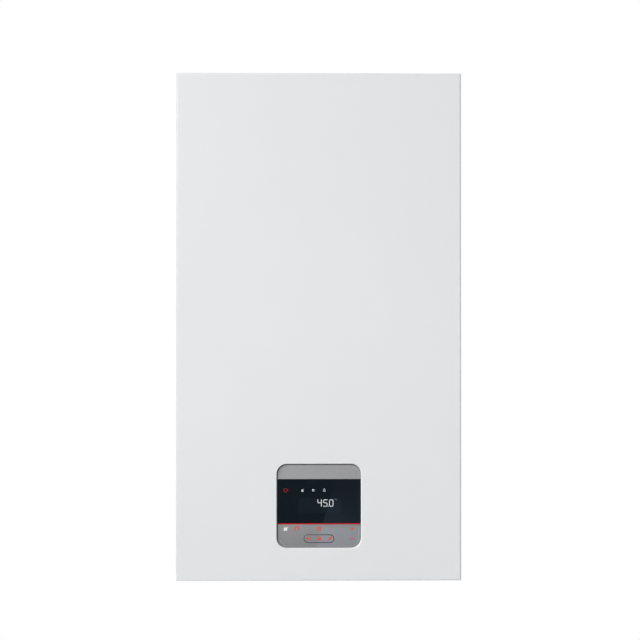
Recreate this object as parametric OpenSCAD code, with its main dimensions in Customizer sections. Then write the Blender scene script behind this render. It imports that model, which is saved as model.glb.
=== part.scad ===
// Wall-hung condensing boiler, in millimetres, +Z up, front towards -Y.
// The origin is on the wall, midway between the two screw holes of the wall bracket.
// Shapes are placed in case terms: x to the right, h above the case's bottom edge, d off the wall.

/* [Case] */
// Width of the case
case_w = 393; // [384:1:410]
// Height of the case
case_h = 700; // [696:1:740]
// Depth of the case off the wall
case_d = 295; // [295:1:320]
// Thickness of the painted steel sheet
sheet = 1.2; // [0.8:0.1:1.4]
// Depth of the front cover's folded edge
cover_fold = 30; // [28:1:31]
// Outer radius of the front cover's folded edges
cover_edge_r = 2.6; // [1.8:0.1:3]

/* [Control panel] */
// Side of the square control panel
panel_side = 115.4; // [112:0.1:117]
// Corner radius of the control panel
panel_corner_r = 14; // [8:1:17]
// Distance of the panel's centre to the right of the case's middle
panel_x = 0.7; // [-1:0.1:2]
// Height of the panel's centre above the case's bottom edge
panel_h = 102.1; // [101:0.1:105]
// Gap between the panel and the cover's window
panel_gap = 0.9; // [0.6:0.1:1.2]
// How far the panel's face lies behind the cover's face
panel_recess = 4.5; // [4.2:0.1:5]
// Length of the menu key
key_length = 41.6; // [36:0.1:44]
// Height of the menu key
key_width = 11.4; // [10:0.1:12]

/* [Wall fixing] */
// Distance between the two wall screws
screw_spacing = 240; // [160:1:280]
// Radius of the holes for the wall screws
screw_hole_r = 4.5; // [3.5:0.1:5]
// Distance of the wall screws below the case's top edge
screw_drop = 62; // [60:1:64]

/* [Pipe connections] */
// Outer radius of the heating flow and return threads
heating_tail_r = 13.2; // [13:0.1:13.4]
// Outer radius of the hot and cold water threads
water_tail_r = 10.5; // [10:0.1:11]
// Outer radius of the gas thread
gas_tail_r = 10.5; // [10:0.1:11]
// Outer radius of the condensate drain
drain_r = 10.7; // [10:0.1:11]
// Outer radius of the safety valve's outlet
relief_r = 7.5; // [7:0.1:8]
// Depth of the row of pipe connections off the wall
tail_d = 100; // [98:1:102]

/* [Flue] */
// Bore that takes the flue gas pipe
flue_bore_r = 30.2; // [30:0.1:30.4]
// Bore that takes the air pipe round it
air_bore_r = 50.4; // [50:0.1:50.6]
// Depth of the flue's axis off the wall
flue_d = 150; // [145:1:155]

/* [Heat exchanger] */
// Outer radius of the heat exchanger's drum
drum_r = 110; // [104:1:110]
// Number of turns of the heat exchanger's coil
coil_turns = 7; // [5:1:7]

/* [Hidden] */

$fn = 48;

// A cut reaches this far past the face that it opens
past = 1;

paint = "whitesmoke";
galvanised = [0.72, 0.74, 0.76];
copper = [0.78, 0.48, 0.32];
brass = [0.80, 0.66, 0.36];
stainless = [0.70, 0.71, 0.72];
black_plastic = [0.12, 0.12, 0.13];
grey_plastic = [0.45, 0.46, 0.48];
silver_plastic = [0.62, 0.62, 0.64];

// Case
half_w = case_w / 2;
screw_h = case_h - screw_drop;
side_inner = half_w - sheet;
fold_d = case_d - cover_fold;
panel_end_d = fold_d - 0.5;
plate_d = [4, 5.5];
post_sheet = 1.5;
rail_d = [64, 66];
base_h = [30, 31.5];
// Width of the seam between the pieces of one sheet
split = 0.1;
top_h = [case_h - sheet, case_h];

// Front cover's screws
cover_screw_x = 150;
cover_screw_d = case_d - 18;

// Control box
box_x = 172;
box_h = [44, 174];
box_d = [case_d - 70, case_d - 13];
box_wall = 2.5;
lid_d = [box_d[0] - box_wall, box_d[0]];
pivot_h = 58;
pivot_d = case_d - 21;
pivot_r = 4;
pivot_clearance = 0.06;
board_d = [case_d - 33, case_d - 31.4];

// Control panel
face_d = case_d - panel_recess;
bezel_base_d = [box_d[1], box_d[1] + 4];
glass_h = [78.6, 139.8];
lcd_x = [-28.1, 29.8];
lcd_h = [93.3, 113.1];
key_x = panel_x;
key_h = 58;
key_gap = 0.5;
key_pin_d = case_d - 8.9;
key_pin_r = 1;
key_rod_r = 2;

// Heat exchanger and burner
drum_x = -45;
drum_h = 462;
drum_d = [66, 222];
drum_wall = 4;
coil_r = 88;
coil_tube_r = 6.5;
coil_d = [88, 200];
door_d = [225, 229];
boss_d = 243;
stud_circle_r = drum_r + 3.5;
stud_count = 6;
return_port = [20, 365, 195];
sump_port = [-60, 334, 150];
flue_port_h = 430;
flue_column_x = 125;

// Fan, gas and air
fan_x = 110;
fan_h = 315;
fan_r = 62;
fan_d = [205, 255];
fan_wall = 3;
duct_d = [246, 286];
shaft_r = 4;
shaft_clearance = 0.06;
venturi_d = [165, 205];
valve_x = [80, 140];
valve_h = [185, 240];
valve_d = [145, 205];
gas_route_h = 212;
gas_outlet_d = 180;

// Water side
pump_x = 118;
pump_h = 115;
volute_r = 48;
volute_d = [78, 122];
pump_motor_d = [122, 205];
return_tail_x = 100;
pump_outlet_x = 136;
diverter_x = -100;
diverter_r = 20;
diverter_bore_r = 14;
diverter_h = [60, 165];
phe_x = 72;
phe_h = [60, 130];
phe_d = [20, 75];
phe_heating_x = 55;
phe_heating_h = 115;
water_x = 35;
water_port_h = 88;
pipe_r = 9;
pipe_wall = 1;
bend_r = 16;

// Small fittings on the base plate
relief_x = 60;
relief_d = 150;
relief_h = 82;
gauge_x = -90;
gauge_d = 190;
gauge_r = 18;
tap_x = -25;
tap_d = 190;
tap_h = 68;
tap_stem_r = 7.6;
trap_x = -150;
trap_d = 150;
trap_r = 30;
drain_d = 205;
gland_x = 150;
gland_d = 200;
gland_r = 8;

// Openings in the base plate: x, depth, radius of what passes through
BASE_HOLES = [
    [-return_tail_x, tail_d, heating_tail_r],
    [return_tail_x, tail_d, heating_tail_r],
    [-water_x, tail_d, water_tail_r],
    [water_x, tail_d, water_tail_r],
    [0, tail_d, gas_tail_r],
    [relief_x, relief_d, relief_r],
    [trap_x, drain_d, drain_r]
];
grommet_r = 3.5;

function at(x, h, d) = [x, -d, h - screw_h];
function about(centre, half) = [centre - half, centre + half];
function grown(span, by) = [span[0] - by, span[1] + by];
function mid(span) = (span[0] + span[1]) / 2;
function unit(v) = v / norm(v);
function beside(u) = abs(u.z) > 0.9 ? [1, 0, 0] : unit(cross([0, 0, 1], u));
function placed(a, b, c, o) = [
    [a.x, b.x, c.x, o.x], [a.y, b.y, c.y, o.y], [a.z, b.z, c.z, o.z], [0, 0, 0, 1]
];
function turn(a, b) = acos(max(-1, min(1, a * b)));

// A box between two x, two heights and two depths
module block(x, h, d) {
    translate(at(x[0], h[0], d[1])) cube([x[1] - x[0], d[1] - d[0], h[1] - h[0]]);
}

// Cylinders along the depth, the height and the width
module rod_d(x, h, d, r) {
    translate(at(x, h, d[0])) rotate([90, 0, 0]) cylinder(r = r, h = d[1] - d[0]);
}
module rod_h(x, d, h, r) {
    translate(at(x, h[0], d)) cylinder(r = r, h = h[1] - h[0]);
}
module rod_x(h, d, x, r) {
    translate(at(x[0], h, d)) rotate([0, 90, 0]) cylinder(r = r, h = x[1] - x[0]);
}

// A hexagon along the height, and one along the depth
module hex_h(x, d, h, r) {
    translate(at(x, h[0], d)) cylinder(r = r, h = h[1] - h[0], $fn = 6);
}
module hex_d(x, h, d, r) {
    translate(at(x, h, d[0])) rotate([90, 0, 0]) cylinder(r = r, h = d[1] - d[0], $fn = 6);
}

// A ring along the height
module ring_h(x, d, h, r_out, r_in) {
    difference() {
        rod_h(x, d, h, r_out);
        rod_h(x, d, [h[0] - past, h[1] + past], r_in);
    }
}

// A rectangle with round corners, about its centre
module round_rect(w, h, r) {
    square([w - 2 * r, h], center = true);
    square([w, h - 2 * r], center = true);
    for (sx = [-1, 1], sy = [-1, 1]) translate([sx * (w / 2 - r), sy * (h / 2 - r)]) circle(r);
}

// A plate with round corners that faces the front
module face_plate(x, h, w, height, r, d) {
    translate(at(x, h, d[0])) rotate([90, 0, 0]) linear_extrude(d[1] - d[0]) round_rect(w, height, r);
}

// One straight length of tube from a to b
module tube(a, b, r, wall) {
    u = unit(b - a);
    side = beside(u);
    multmatrix(placed(side, cross(u, side), u, a)) difference() {
        cylinder(r = r, h = norm(b - a));
        if (wall > 0) translate([0, 0, -past]) cylinder(r = r - wall, h = norm(b - a) + 2 * past);
    }
}

// The elbow at corner p, from direction u to direction v
module elbow(p, u, v, r, wall, bend) {
    angle = turn(u, v);
    n = unit(v - (v * u) * u);
    start = p - bend * tan(angle / 2) * u;
    multmatrix(placed(-n, u, cross(-n, u), start + bend * n)) rotate_extrude(angle = angle)
        translate([bend, 0]) difference() {
            circle(r);
            if (wall > 0) circle(r - wall);
        }
}

// A bent tube through the points, with every corner rounded to the bend radius
module pipe(points, r, wall, bend) {
    last = len(points) - 1;
    u = [for (i = [0 : last - 1]) unit(points[i + 1] - points[i])];
    cut = [for (i = [0 : last]) i == 0 || i == last ? 0 : bend * tan(turn(u[i - 1], u[i]) / 2)];
    for (i = [0 : last - 1]) tube(points[i] + cut[i] * u[i], points[i + 1] - cut[i + 1] * u[i], r, wall);
    for (i = [1 : 1 : last - 1]) elbow(points[i], u[i - 1], u[i], r, wall, bend);
}

// Case

module back_frame() {
    hook_window_x = 166;
    hook_window_h = [screw_h - 26, screw_h + 18];
    slot_w = 26;
    color(galvanised) {
        difference() {
            block([-side_inner, side_inner], [base_h[1], top_h[0]], plate_d);
            block([-hook_window_x, hook_window_x], hook_window_h, [0, 10]);
            for (x = [-slot_w * 4 : slot_w * 2 : slot_w * 4])
                block([x - slot_w / 2, x + slot_w / 2], [150, 230], [0, 10]);
        }
        for (s = [-1, 1]) {
            post_x = [side_inner - post_sheet, side_inner];
            x = s > 0 ? post_x : [-post_x[1], -post_x[0]];
            block(x, [base_h[1], top_h[0]], [plate_d[1], rail_d[1]]);
        }
        for (h = [396, 512]) {
            block([-side_inner + post_sheet, side_inner - post_sheet], [h, h + 20], rail_d);
        }
        for (x = [-150, 150]) rod_d(x, 60, [0, plate_d[0]], 12);
    }
}

module wall_bracket() {
    bracket_x = 160;
    flat_h = [screw_h - 20, screw_h + 18];
    web_d = 9;
    lip = 2;
    color(galvanised) difference() {
        union() {
            block([-bracket_x, bracket_x], flat_h, [0, lip]);
            block([-bracket_x, bracket_x], [flat_h[1] - lip, flat_h[1]], [0, web_d]);
            block([-bracket_x, bracket_x], [flat_h[1] - lip, flat_h[1] + 12], [web_d - lip, web_d]);
        }
        for (s = [-1, 1]) rod_d(s * screw_spacing / 2, screw_h, [-past, lip + past], screw_hole_r);
    }
}

module side_panel() {
    front_fold = 12;
    block([side_inner, half_w], [0, case_h], [2, panel_end_d]);
    block([side_inner - front_fold, side_inner], [0, top_h[0] - 12], [panel_end_d - sheet, panel_end_d]);
    block([side_inner - front_fold, side_inner], [0, sheet], [8, panel_end_d]);
}

module left_side_panel() {
    color(paint) mirror([1, 0, 0]) side_panel();
}

module right_side_panel() {
    color(paint) side_panel();
}

module top_plate() {
    lip_h = [top_h[0] - 1.8, top_h[0] - 0.4];
    lip_x = side_inner - 8;
    color(paint) difference() {
        union() {
            block([-side_inner, side_inner], top_h, [2, panel_end_d]);
            block([-lip_x, lip_x], [lip_h[0], top_h[0]], [panel_end_d - 14, panel_end_d]);
            block([-lip_x, lip_x], lip_h, [panel_end_d - 14, fold_d + 18]);
        }
        rod_h(0, flue_d, [case_h - 10, case_h + past], air_bore_r + 3);
        for (s = [-1, 1]) rod_h(s * 120, flue_d, [case_h - 10, case_h + past], 12);
    }
}

// The plate in three pieces round the condensate trap, the rail along its front edge, and the tabs
// for the cover's screws, seam to seam
module base_plate() {
    front_d = panel_end_d - sheet;
    front_rail_x = side_inner - 12;
    tab_h = [3.6, 5.2];
    tab_half = 12;
    tab_d = [front_d - 10, cover_screw_d + 7];
    slot_r = 2.4;
    notch = trap_r + 2;
    notch_x = trap_x + notch;
    through_h = grown(base_h, past);
    color(galvanised) {
        difference() {
            union() {
                block([notch_x, side_inner], base_h, [plate_d[1], front_d - split]);
                for (d = [[plate_d[1], trap_d - notch], [trap_d + notch, front_d - split]])
                    block([-side_inner, notch_x - split], base_h, d);
            }
            for (hole = BASE_HOLES) rod_h(hole[0], hole[1], through_h, hole[2] + grommet_r);
            rod_h(gauge_x, gauge_d, through_h, gauge_r + 0.2);
            rod_h(tap_x, tap_d, through_h, tap_stem_r + 0.4);
            rod_h(gland_x, gland_d, through_h, gland_r + 0.2);
        }
        block([-front_rail_x, front_rail_x], [tab_h[1] + split, base_h[1]], [front_d, panel_end_d]);
        for (s = [-1, 1]) difference() {
            block(about(s * cover_screw_x, tab_half), tab_h, tab_d);
            rod_h(s * cover_screw_x, cover_screw_d, grown(tab_h, past), slot_r);
            block(about(s * cover_screw_x, slot_r), grown(tab_h, past), [cover_screw_d, tab_d[1] + past]);
        }
    }
}

module pipe_grommets() {
    collar = 2.5;
    lip = 1.5;
    gap = 0.3;
    color(black_plastic) for (hole = BASE_HOLES) {
        difference() {
            union() {
                rod_h(hole[0], hole[1], grown(base_h, lip), hole[2] + grommet_r);
                rod_h(hole[0], hole[1], [base_h[0] - lip, base_h[0]], hole[2] + grommet_r + collar);
                rod_h(hole[0], hole[1], [base_h[1], base_h[1] + lip], hole[2] + grommet_r + collar);
            }
            rod_h(hole[0], hole[1], grown(base_h, lip + past), hole[2] + gap);
        }
    }
}

// Flue

collar_wall = 2;
seal_depth = 2.6;
seal_h = [case_h - 12, case_h - 5];
collar_top = case_h + 8;

module flue_collar() {
    flange_r = 68;
    air_h = [case_h - 32, collar_top];
    gas_h = [case_h - 50, collar_top - 2];
    stop_h = [case_h - 36, case_h - 32];
    pipe_gap = 0.1;
    rib = 3;
    color(black_plastic) difference() {
        union() {
            rod_h(0, flue_d, [case_h, case_h + 3], flange_r);
            rod_h(0, flue_d, air_h, air_bore_r + collar_wall);
            rod_h(0, flue_d, [seal_h[0] - 2, case_h], air_bore_r + seal_depth);
        }
        rod_h(0, flue_d, grown(air_h, past), air_bore_r);
        rod_h(0, flue_d, seal_h, air_bore_r + seal_depth - 0.6);
        for (a = [45 : 90 : 315])
            rod_h(60 * cos(a), flue_d + 60 * sin(a), [case_h - past, case_h + 4], 2.2);
    }
    color(black_plastic) difference() {
        union() {
            rod_h(0, flue_d, gas_h, flue_bore_r + seal_depth);
            for (a = [0 : 90 : 270]) translate(at(0, air_h[0] + 2, flue_d)) rotate([0, 0, a])
                translate([flue_bore_r + 1, -rib / 2, 0]) cube([air_bore_r - flue_bore_r - 0.5, rib, 14]);
        }
        rod_h(0, flue_d, [stop_h[1], gas_h[1] + past], flue_bore_r);
        rod_h(0, flue_d, [gas_h[0], gas_h[1]], flue_bore_r - 2);
        rod_h(0, flue_d, [gas_h[0] - past, stop_h[0]], 30 + pipe_gap);
        rod_h(0, flue_d, seal_h, flue_bore_r + seal_depth - 0.8);
    }
}

module flue_seals() {
    gap = 0.1;
    color([0.15, 0.35, 0.3]) {
        ring_h(0, flue_d, grown(seal_h, -gap), air_bore_r + seal_depth - 0.7, air_bore_r + gap);
        ring_h(0, flue_d, grown(seal_h, -gap), flue_bore_r + seal_depth - 0.9, flue_bore_r + gap);
    }
}

module flue_pipe() {
    run_h = 612;
    color(black_plastic) pipe([
        at(drum_x + drum_r + 5, flue_port_h, flue_d),
        at(flue_column_x, flue_port_h, flue_d),
        at(flue_column_x, run_h, flue_d),
        at(0, run_h, flue_d),
        at(0, case_h - 37, flue_d)
    ], 30, 1.8, 35);
}

// Expansion vessel

vessel_h = [266, 684];
vessel_port_x = 90;

module expansion_vessel() {
    vessel_w = 350;
    vessel_d = [12, 60];
    seam_d = [34, 38];
    seam = 4;
    skin = 1.5;
    corner_r = 36;
    centre_h = mid(vessel_h);
    height = vessel_h[1] - vessel_h[0];
    inner = 2 * (seam + skin);
    valve_x = -140;
    valve_h = 640;
    color([0.62, 0.12, 0.10]) difference() {
        union() {
            face_plate(0, centre_h, vessel_w - 2 * seam, height - 2 * seam, corner_r, vessel_d);
            face_plate(0, centre_h, vessel_w, height, corner_r + seam, seam_d);
            rod_h(vessel_port_x, 36, [vessel_h[0] - 8, vessel_h[0] + 8], 8);
        }
        face_plate(0, centre_h, vessel_w - inner, height - inner, corner_r - skin, grown(vessel_d, -skin));
        rod_h(vessel_port_x, 36, [vessel_h[0] - 9, vessel_h[0] + 12], 4);
    }
    color(brass) {
        rod_d(valve_x, valve_h, [vessel_d[1], vessel_d[1] + 3], 9);
        rod_d(valve_x, valve_h, [vessel_d[1], vessel_d[1] + 18], 3.8);
    }
    color(galvanised) for (s = [-1, 1], h = [320, 560])
        block(about(s * 120, 12), [h, h + 24], [plate_d[1], vessel_d[0]]);
}

module vessel_pipe() {
    color(copper) pipe([
        at(vessel_port_x, vessel_h[0] - 8, 36),
        at(vessel_port_x, 140, 36),
        at(vessel_port_x, 140, volute_d[0])
    ], 5, 1, bend_r);
}

// Heat exchanger and burner

module heat_exchanger_shell() {
    flange_d = [drum_d[1] - 4, drum_d[1]];
    flange_r = drum_r + 8;
    stub_x = drum_x + drum_r + 22;
    comb = 8;
    comb_length = 130;
    inner_r = drum_r - drum_wall;
    color(stainless) difference() {
        union() {
            rod_d(drum_x, drum_h, drum_d, drum_r);
            rod_d(drum_x, drum_h, flange_d, flange_r);
            rod_x(flue_port_h, flue_d, [drum_x, stub_x], 33);
            rod_h(return_port[0], return_port[2], [return_port[1] - 8, drum_h - 60], 12.5);
            rod_h(sump_port[0], sump_port[2], [sump_port[1] - 4, drum_h - 80], 15);
            rod_x(drum_h, tail_d, [drum_x - drum_r - 5, drum_x - 60], 12.5);
        }
        rod_d(drum_x, drum_h, [drum_d[0] + 3, drum_d[1] + past], inner_r);
        rod_x(flue_port_h, flue_d, [drum_x, stub_x + past], 30.1);
        rod_h(return_port[0], return_port[2], [return_port[1] - 9, return_port[1] + 3], pipe_r + 0.1);
        rod_h(return_port[0], return_port[2], [return_port[1] - 9, drum_h], pipe_r - 1);
        rod_h(sump_port[0], sump_port[2], [sump_port[1] - 5, sump_port[1] + 2], 11.1);
        rod_h(sump_port[0], sump_port[2], [sump_port[1] - 5, drum_h], 9);
        rod_x(drum_h, tail_d, [drum_x - drum_r - 6, drum_x - 60], pipe_r - 1);
        for (i = [0 : stud_count - 1]) {
            a = i * 360 / stud_count;
            rod_d(drum_x + stud_circle_r * cos(a), drum_h + stud_circle_r * sin(a),
                [flange_d[0] - past, flange_d[1] + past], 2.6);
        }
    }
    color(stainless) for (a = [30, 150, 270])
        translate(at(drum_x, drum_h, drum_d[0] + 2)) rotate([0, -a, 0])
            translate([coil_r + coil_tube_r + 1, -comb_length, -comb / 2])
                cube([inner_r - coil_r - coil_tube_r, comb_length, comb]);
}

// The coil is a helix about the drum's axis, swept with a ring of points at each step
coil_steps = 24;
coil_sides = 8;
function coil_point(step, side) =
    let (
        turn_angle = step * 360 / coil_steps,
        around = side * 360 / coil_sides,
        along = step / (coil_steps * coil_turns),
        reach = coil_r + coil_tube_r * cos(around),
        depth = coil_d[0] + (coil_d[1] - coil_d[0]) * along + coil_tube_r * sin(around)
    )
    at(drum_x + reach * cos(turn_angle), drum_h + reach * sin(turn_angle), depth);

module heat_exchanger_coil() {
    rings = coil_steps * coil_turns;
    points = [for (i = [0 : rings], j = [0 : coil_sides - 1]) coil_point(i, j)];
    walls = [for (i = [0 : rings - 1], j = [0 : coil_sides - 1])
        let (k = (j + 1) % coil_sides, a = i * coil_sides, b = a + coil_sides)
        each [[a + j, b + k, a + k], [a + j, b + j, b + k]]];
    ends = [for (j = [1 : coil_sides - 2])
        each [[0, j, j + 1], [rings * coil_sides, rings * coil_sides + j + 1, rings * coil_sides + j]]];
    color(stainless) polyhedron(points = points, faces = concat(walls, ends), convexity = 10);
}

module door_seal() {
    color([0.75, 0.73, 0.68]) difference() {
        rod_d(drum_x, drum_h, [drum_d[1], door_d[0]], drum_r - 1);
        rod_d(drum_x, drum_h, [drum_d[1] - past, door_d[0] + past], drum_r - 12);
    }
}

module burner_door() {
    inlet_r = 25;
    color([0.70, 0.71, 0.73]) difference() {
        union() {
            rod_d(drum_x, drum_h, door_d, drum_r + 8);
            rod_d(drum_x, drum_h, [door_d[0], boss_d], 80);
            rod_d(drum_x, drum_h, [boss_d - past, duct_d[0]], 33);
            for (a = [0 : 60 : 300]) translate(at(drum_x, drum_h, boss_d - 4)) rotate([0, -a, 0])
                translate([0, 0, -3]) cube([drum_r - 14, 12, 6]);
        }
        rod_d(drum_x, drum_h, [door_d[0] - past, duct_d[0] + past], inlet_r);
        for (i = [0 : stud_count - 1]) {
            a = i * 360 / stud_count;
            rod_d(drum_x + stud_circle_r * cos(a), drum_h + stud_circle_r * sin(a),
                [door_d[0] - past, door_d[1] + 12], 3.2);
        }
        rod_d(drum_x + 25, drum_h - 50, [door_d[0] - past, boss_d + past], 5.1);
    }
}

module burner_tube() {
    tube_r = 34;
    color([0.6, 0.6, 0.58]) difference() {
        union() {
            rod_d(drum_x, drum_h, [100, door_d[0]], tube_r);
            rod_d(drum_x, drum_h, [door_d[0] - 2, door_d[0]], tube_r + 8);
        }
        rod_d(drum_x, drum_h, [103, door_d[0] + past], tube_r - 2);
        rod_d(drum_x + 25, drum_h - 50, [door_d[0] - 3, door_d[0] + past], 12);
    }
}

module burner_door_nuts() {
    color(brass) for (i = [0 : stud_count - 1]) {
        a = i * 360 / stud_count;
        x = drum_x + stud_circle_r * cos(a);
        h = drum_h + stud_circle_r * sin(a);
        rod_d(x, h, [drum_d[1] - 4, door_d[1] + 12], 2.5);
        hex_d(x, h, [door_d[1], door_d[1] + 5], 4.4);
    }
}

module ignition_electrode() {
    x = drum_x + 25;
    h = drum_h - 50;
    color("white") rod_d(x, h, [door_d[0] - 14, boss_d + 22], 5);
    color(black_plastic) rod_d(x, h, [boss_d + 22, boss_d + 36], 7);
    color(stainless) rod_d(x, h, [door_d[0] - 60, door_d[0] - 14], 1.5);
}

module gas_air_duct() {
    wall = 2.5;
    leg_x = [130, 180];
    arm_h = [drum_h - 27, drum_h + 27];
    foot_h = [fan_h + 66, fan_h + 86];
    color([0.72, 0.72, 0.74]) difference() {
        union() {
            block([drum_x - 35, leg_x[1]], arm_h, duct_d);
            block(leg_x, [foot_h[0], arm_h[1]], duct_d);
            block(leg_x, foot_h, [fan_d[0] + 2, duct_d[1]]);
            block(grown(leg_x, 5), [foot_h[0], foot_h[0] + 4], grown(fan_d, 2));
        }
        block([drum_x - 35 + wall, leg_x[1] - wall], grown(arm_h, -wall), grown(duct_d, -wall));
        block(grown(leg_x, -wall), [foot_h[0] + wall, arm_h[1] - wall], grown(duct_d, -wall));
        block(grown(leg_x, -wall), [foot_h[0] - past, foot_h[1] - wall], grown(fan_d, -4));
        rod_d(drum_x, drum_h, [duct_d[0] - past, duct_d[0] + 5], 25);
    }
}

// Fan

module fan_housing() {
    outlet_x = [131, 179];
    outlet_top = fan_h + 66;
    color([0.68, 0.69, 0.71]) difference() {
        union() {
            rod_d(fan_x, fan_h, fan_d, fan_r);
            block(outlet_x, [fan_h + 10, outlet_top], grown(fan_d, -2));
            block(grown(outlet_x, 4), [outlet_top - 4, outlet_top], grown(fan_d, 2));
            for (a = [0 : 45 : 315])
                rod_d(fan_x + (fan_r + 1) * cos(a + 20), fan_h + (fan_r + 1) * sin(a + 20), [228, 236], 4);
        }
        rod_d(fan_x, fan_h, grown(fan_d, -fan_wall), fan_r - fan_wall);
        block(grown(outlet_x, -fan_wall), [fan_h + 12, outlet_top + past], grown(fan_d, -5));
        rod_d(fan_x, fan_h, [fan_d[0] - past, fan_d[0] + 5], 24);
        rod_d(fan_x, fan_h, [fan_d[1] - 5, fan_d[1] + past], shaft_r + 1);
    }
}

module fan_motor() {
    top = 284;
    color(black_plastic) difference() {
        union() {
            rod_d(fan_x, fan_h, [fan_d[1], fan_d[1] + 4], 46);
            rod_d(fan_x, fan_h, [fan_d[1], top], 38);
            block([fan_x - 16, fan_x + 16], [fan_h - 54, fan_h - 30], [fan_d[1] + 1, top - 8]);
        }
        rod_d(fan_x, fan_h, [fan_d[1] - past, top - 6], shaft_r + shaft_clearance);
        for (a = [0 : 30 : 330]) translate(at(fan_x, fan_h, top)) rotate([0, -a, 0])
            translate([14, -past, -1.5]) cube([18, 3.5, 3]);
    }
}

module fan_impeller() {
    disc_r = 52;
    eye_r = 26;
    blades = 12;
    disc_d = [240, 242.5];
    ring_d = [212, 214];
    color(grey_plastic) {
        rod_d(fan_x, fan_h, disc_d, disc_r);
        rod_d(fan_x, fan_h, [222, fan_d[1] + 20], shaft_r);
        rod_d(fan_x, fan_h, [222, disc_d[1] + 4], 12);
        difference() {
            rod_d(fan_x, fan_h, ring_d, disc_r);
            rod_d(fan_x, fan_h, grown(ring_d, past), eye_r);
        }
        for (i = [0 : blades - 1])
            translate(at(fan_x, fan_h, disc_d[0] + 1)) rotate([0, -i * 360 / blades, 0])
                translate([eye_r + 1, 0, 6]) rotate([0, 20, 0])
                    cube([disc_r - eye_r - 5, disc_d[0] - ring_d[1] + 2, 1.6]);
    }
}

module venturi() {
    throat_r = 16;
    mouth_r = 27;
    centre = at(fan_x, fan_h, venturi_d[0]);
    length = venturi_d[1] - venturi_d[0];
    color(black_plastic) difference() {
        union() {
            rod_d(fan_x, fan_h, venturi_d, 30);
            rod_d(fan_x, fan_h, [venturi_d[1] - 4, venturi_d[1]], 38);
        }
        translate(centre) rotate([90, 0, 0]) rotate_extrude() polygon([
            [0, -past], [mouth_r, -past], [mouth_r, 0], [throat_r, length * 0.45],
            [throat_r, length * 0.6], [22, length], [22, length + past], [0, length + past]
        ]);
        rod_h(fan_x, gas_outlet_d, [fan_h - 40, fan_h - 10], 6);
    }
}

// Gas

module gas_valve() {
    coil_h = 30;
    color([0.75, 0.76, 0.78]) difference() {
        union() {
            block(grown(valve_x, -6), grown(valve_h, -4), [valve_d[0], valve_d[1] - 12]);
            rod_x(gas_route_h, 175, [valve_x[0], valve_x[0] + 12], 15);
            rod_h(fan_x, gas_outlet_d, [valve_h[1] - 8, valve_h[1]], 13);
            for (h = grown(valve_h, -10)) rod_x(h, mid(valve_d), grown(valve_x, -2), 5);
            rod_d(fan_x + 12, valve_h[1] - 16, [valve_d[1] - 13, valve_d[1] - 6], 8);
        }
        rod_x(gas_route_h, 175, [valve_x[0] - past, valve_x[0] + 8], pipe_r + 0.1);
        rod_h(fan_x, gas_outlet_d, [valve_h[1] - 7, valve_h[1] + past], 8.1);
    }
    color(black_plastic) {
        block(grown(valve_x, -10), [valve_h[0] + 6, valve_h[0] + 6 + coil_h], [valve_d[1] - 12, valve_d[1]]);
        rod_d(fan_x, valve_h[0] + 6 + coil_h / 2, [valve_d[1], valve_d[1] + 5], 9);
    }
}

module gas_pipe() {
    thread_h = [2, 18];
    color(copper) {
        pipe([
            at(0, thread_h[1], tail_d), at(0, gas_route_h, tail_d), at(0, gas_route_h, 175),
            at(valve_x[0] + 7, gas_route_h, 175)
        ], pipe_r, pipe_wall, bend_r);
        tube(at(fan_x, valve_h[1] - 6, gas_outlet_d), at(fan_x, fan_h - 30.5, gas_outlet_d), 8, pipe_wall);
    }
    color(brass) difference() {
        union() {
            rod_h(0, tail_d, [thread_h[0], thread_h[1] + past], gas_tail_r);
            hex_h(0, tail_d, [thread_h[1], 25], 12.4);
        }
        rod_h(0, tail_d, [thread_h[0] - past, thread_h[1]], pipe_r - pipe_wall);
        rod_h(0, tail_d, [thread_h[1] - 0.01, 26], pipe_r);
    }
}

// Pump

module pump_body() {
    stub_top = 60;
    arm_r = 8;
    color([0.20, 0.21, 0.22]) difference() {
        union() {
            rod_d(pump_x, pump_h, volute_d, volute_r);
            rod_h(return_tail_x, tail_d, [stub_top, 84], 16);
            rod_h(pump_outlet_x, tail_d, [pump_h + 20, pump_h + 62], 14);
            block(about(pump_outlet_x, 6), [base_h[1], pump_h - 36], about(tail_d, 12));
            block(about(pump_outlet_x, 16), [base_h[1], base_h[1] + 3], about(tail_d, 20));
            rod_x(phe_heating_h, tail_d, [phe_heating_x, pump_x - 30], arm_r);
            rod_d(phe_heating_x, phe_heating_h, [phe_d[1], tail_d + 8], arm_r);
            rod_x(relief_h, tail_d, [relief_x - 8, pump_x - 30], arm_r - 1.5);
            rod_d(relief_x, relief_h, [tail_d - 8, relief_d - 13], arm_r - 1.5);
            rod_h(pump_x - 18, tail_d, [pump_h + 30, pump_h + 52], 10);
        }
        rod_d(pump_x, pump_h, [volute_d[0] + 5, volute_d[1] + past], volute_r - 6);
        rod_h(return_tail_x, tail_d, [stub_top - past, 90], 10);
        rod_h(pump_outlet_x, tail_d, [pump_h + 20, pump_h + 54], 8);
        rod_h(pump_outlet_x, tail_d, [pump_h + 53, pump_h + 63], pipe_r + 0.1);
    }
}

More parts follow.
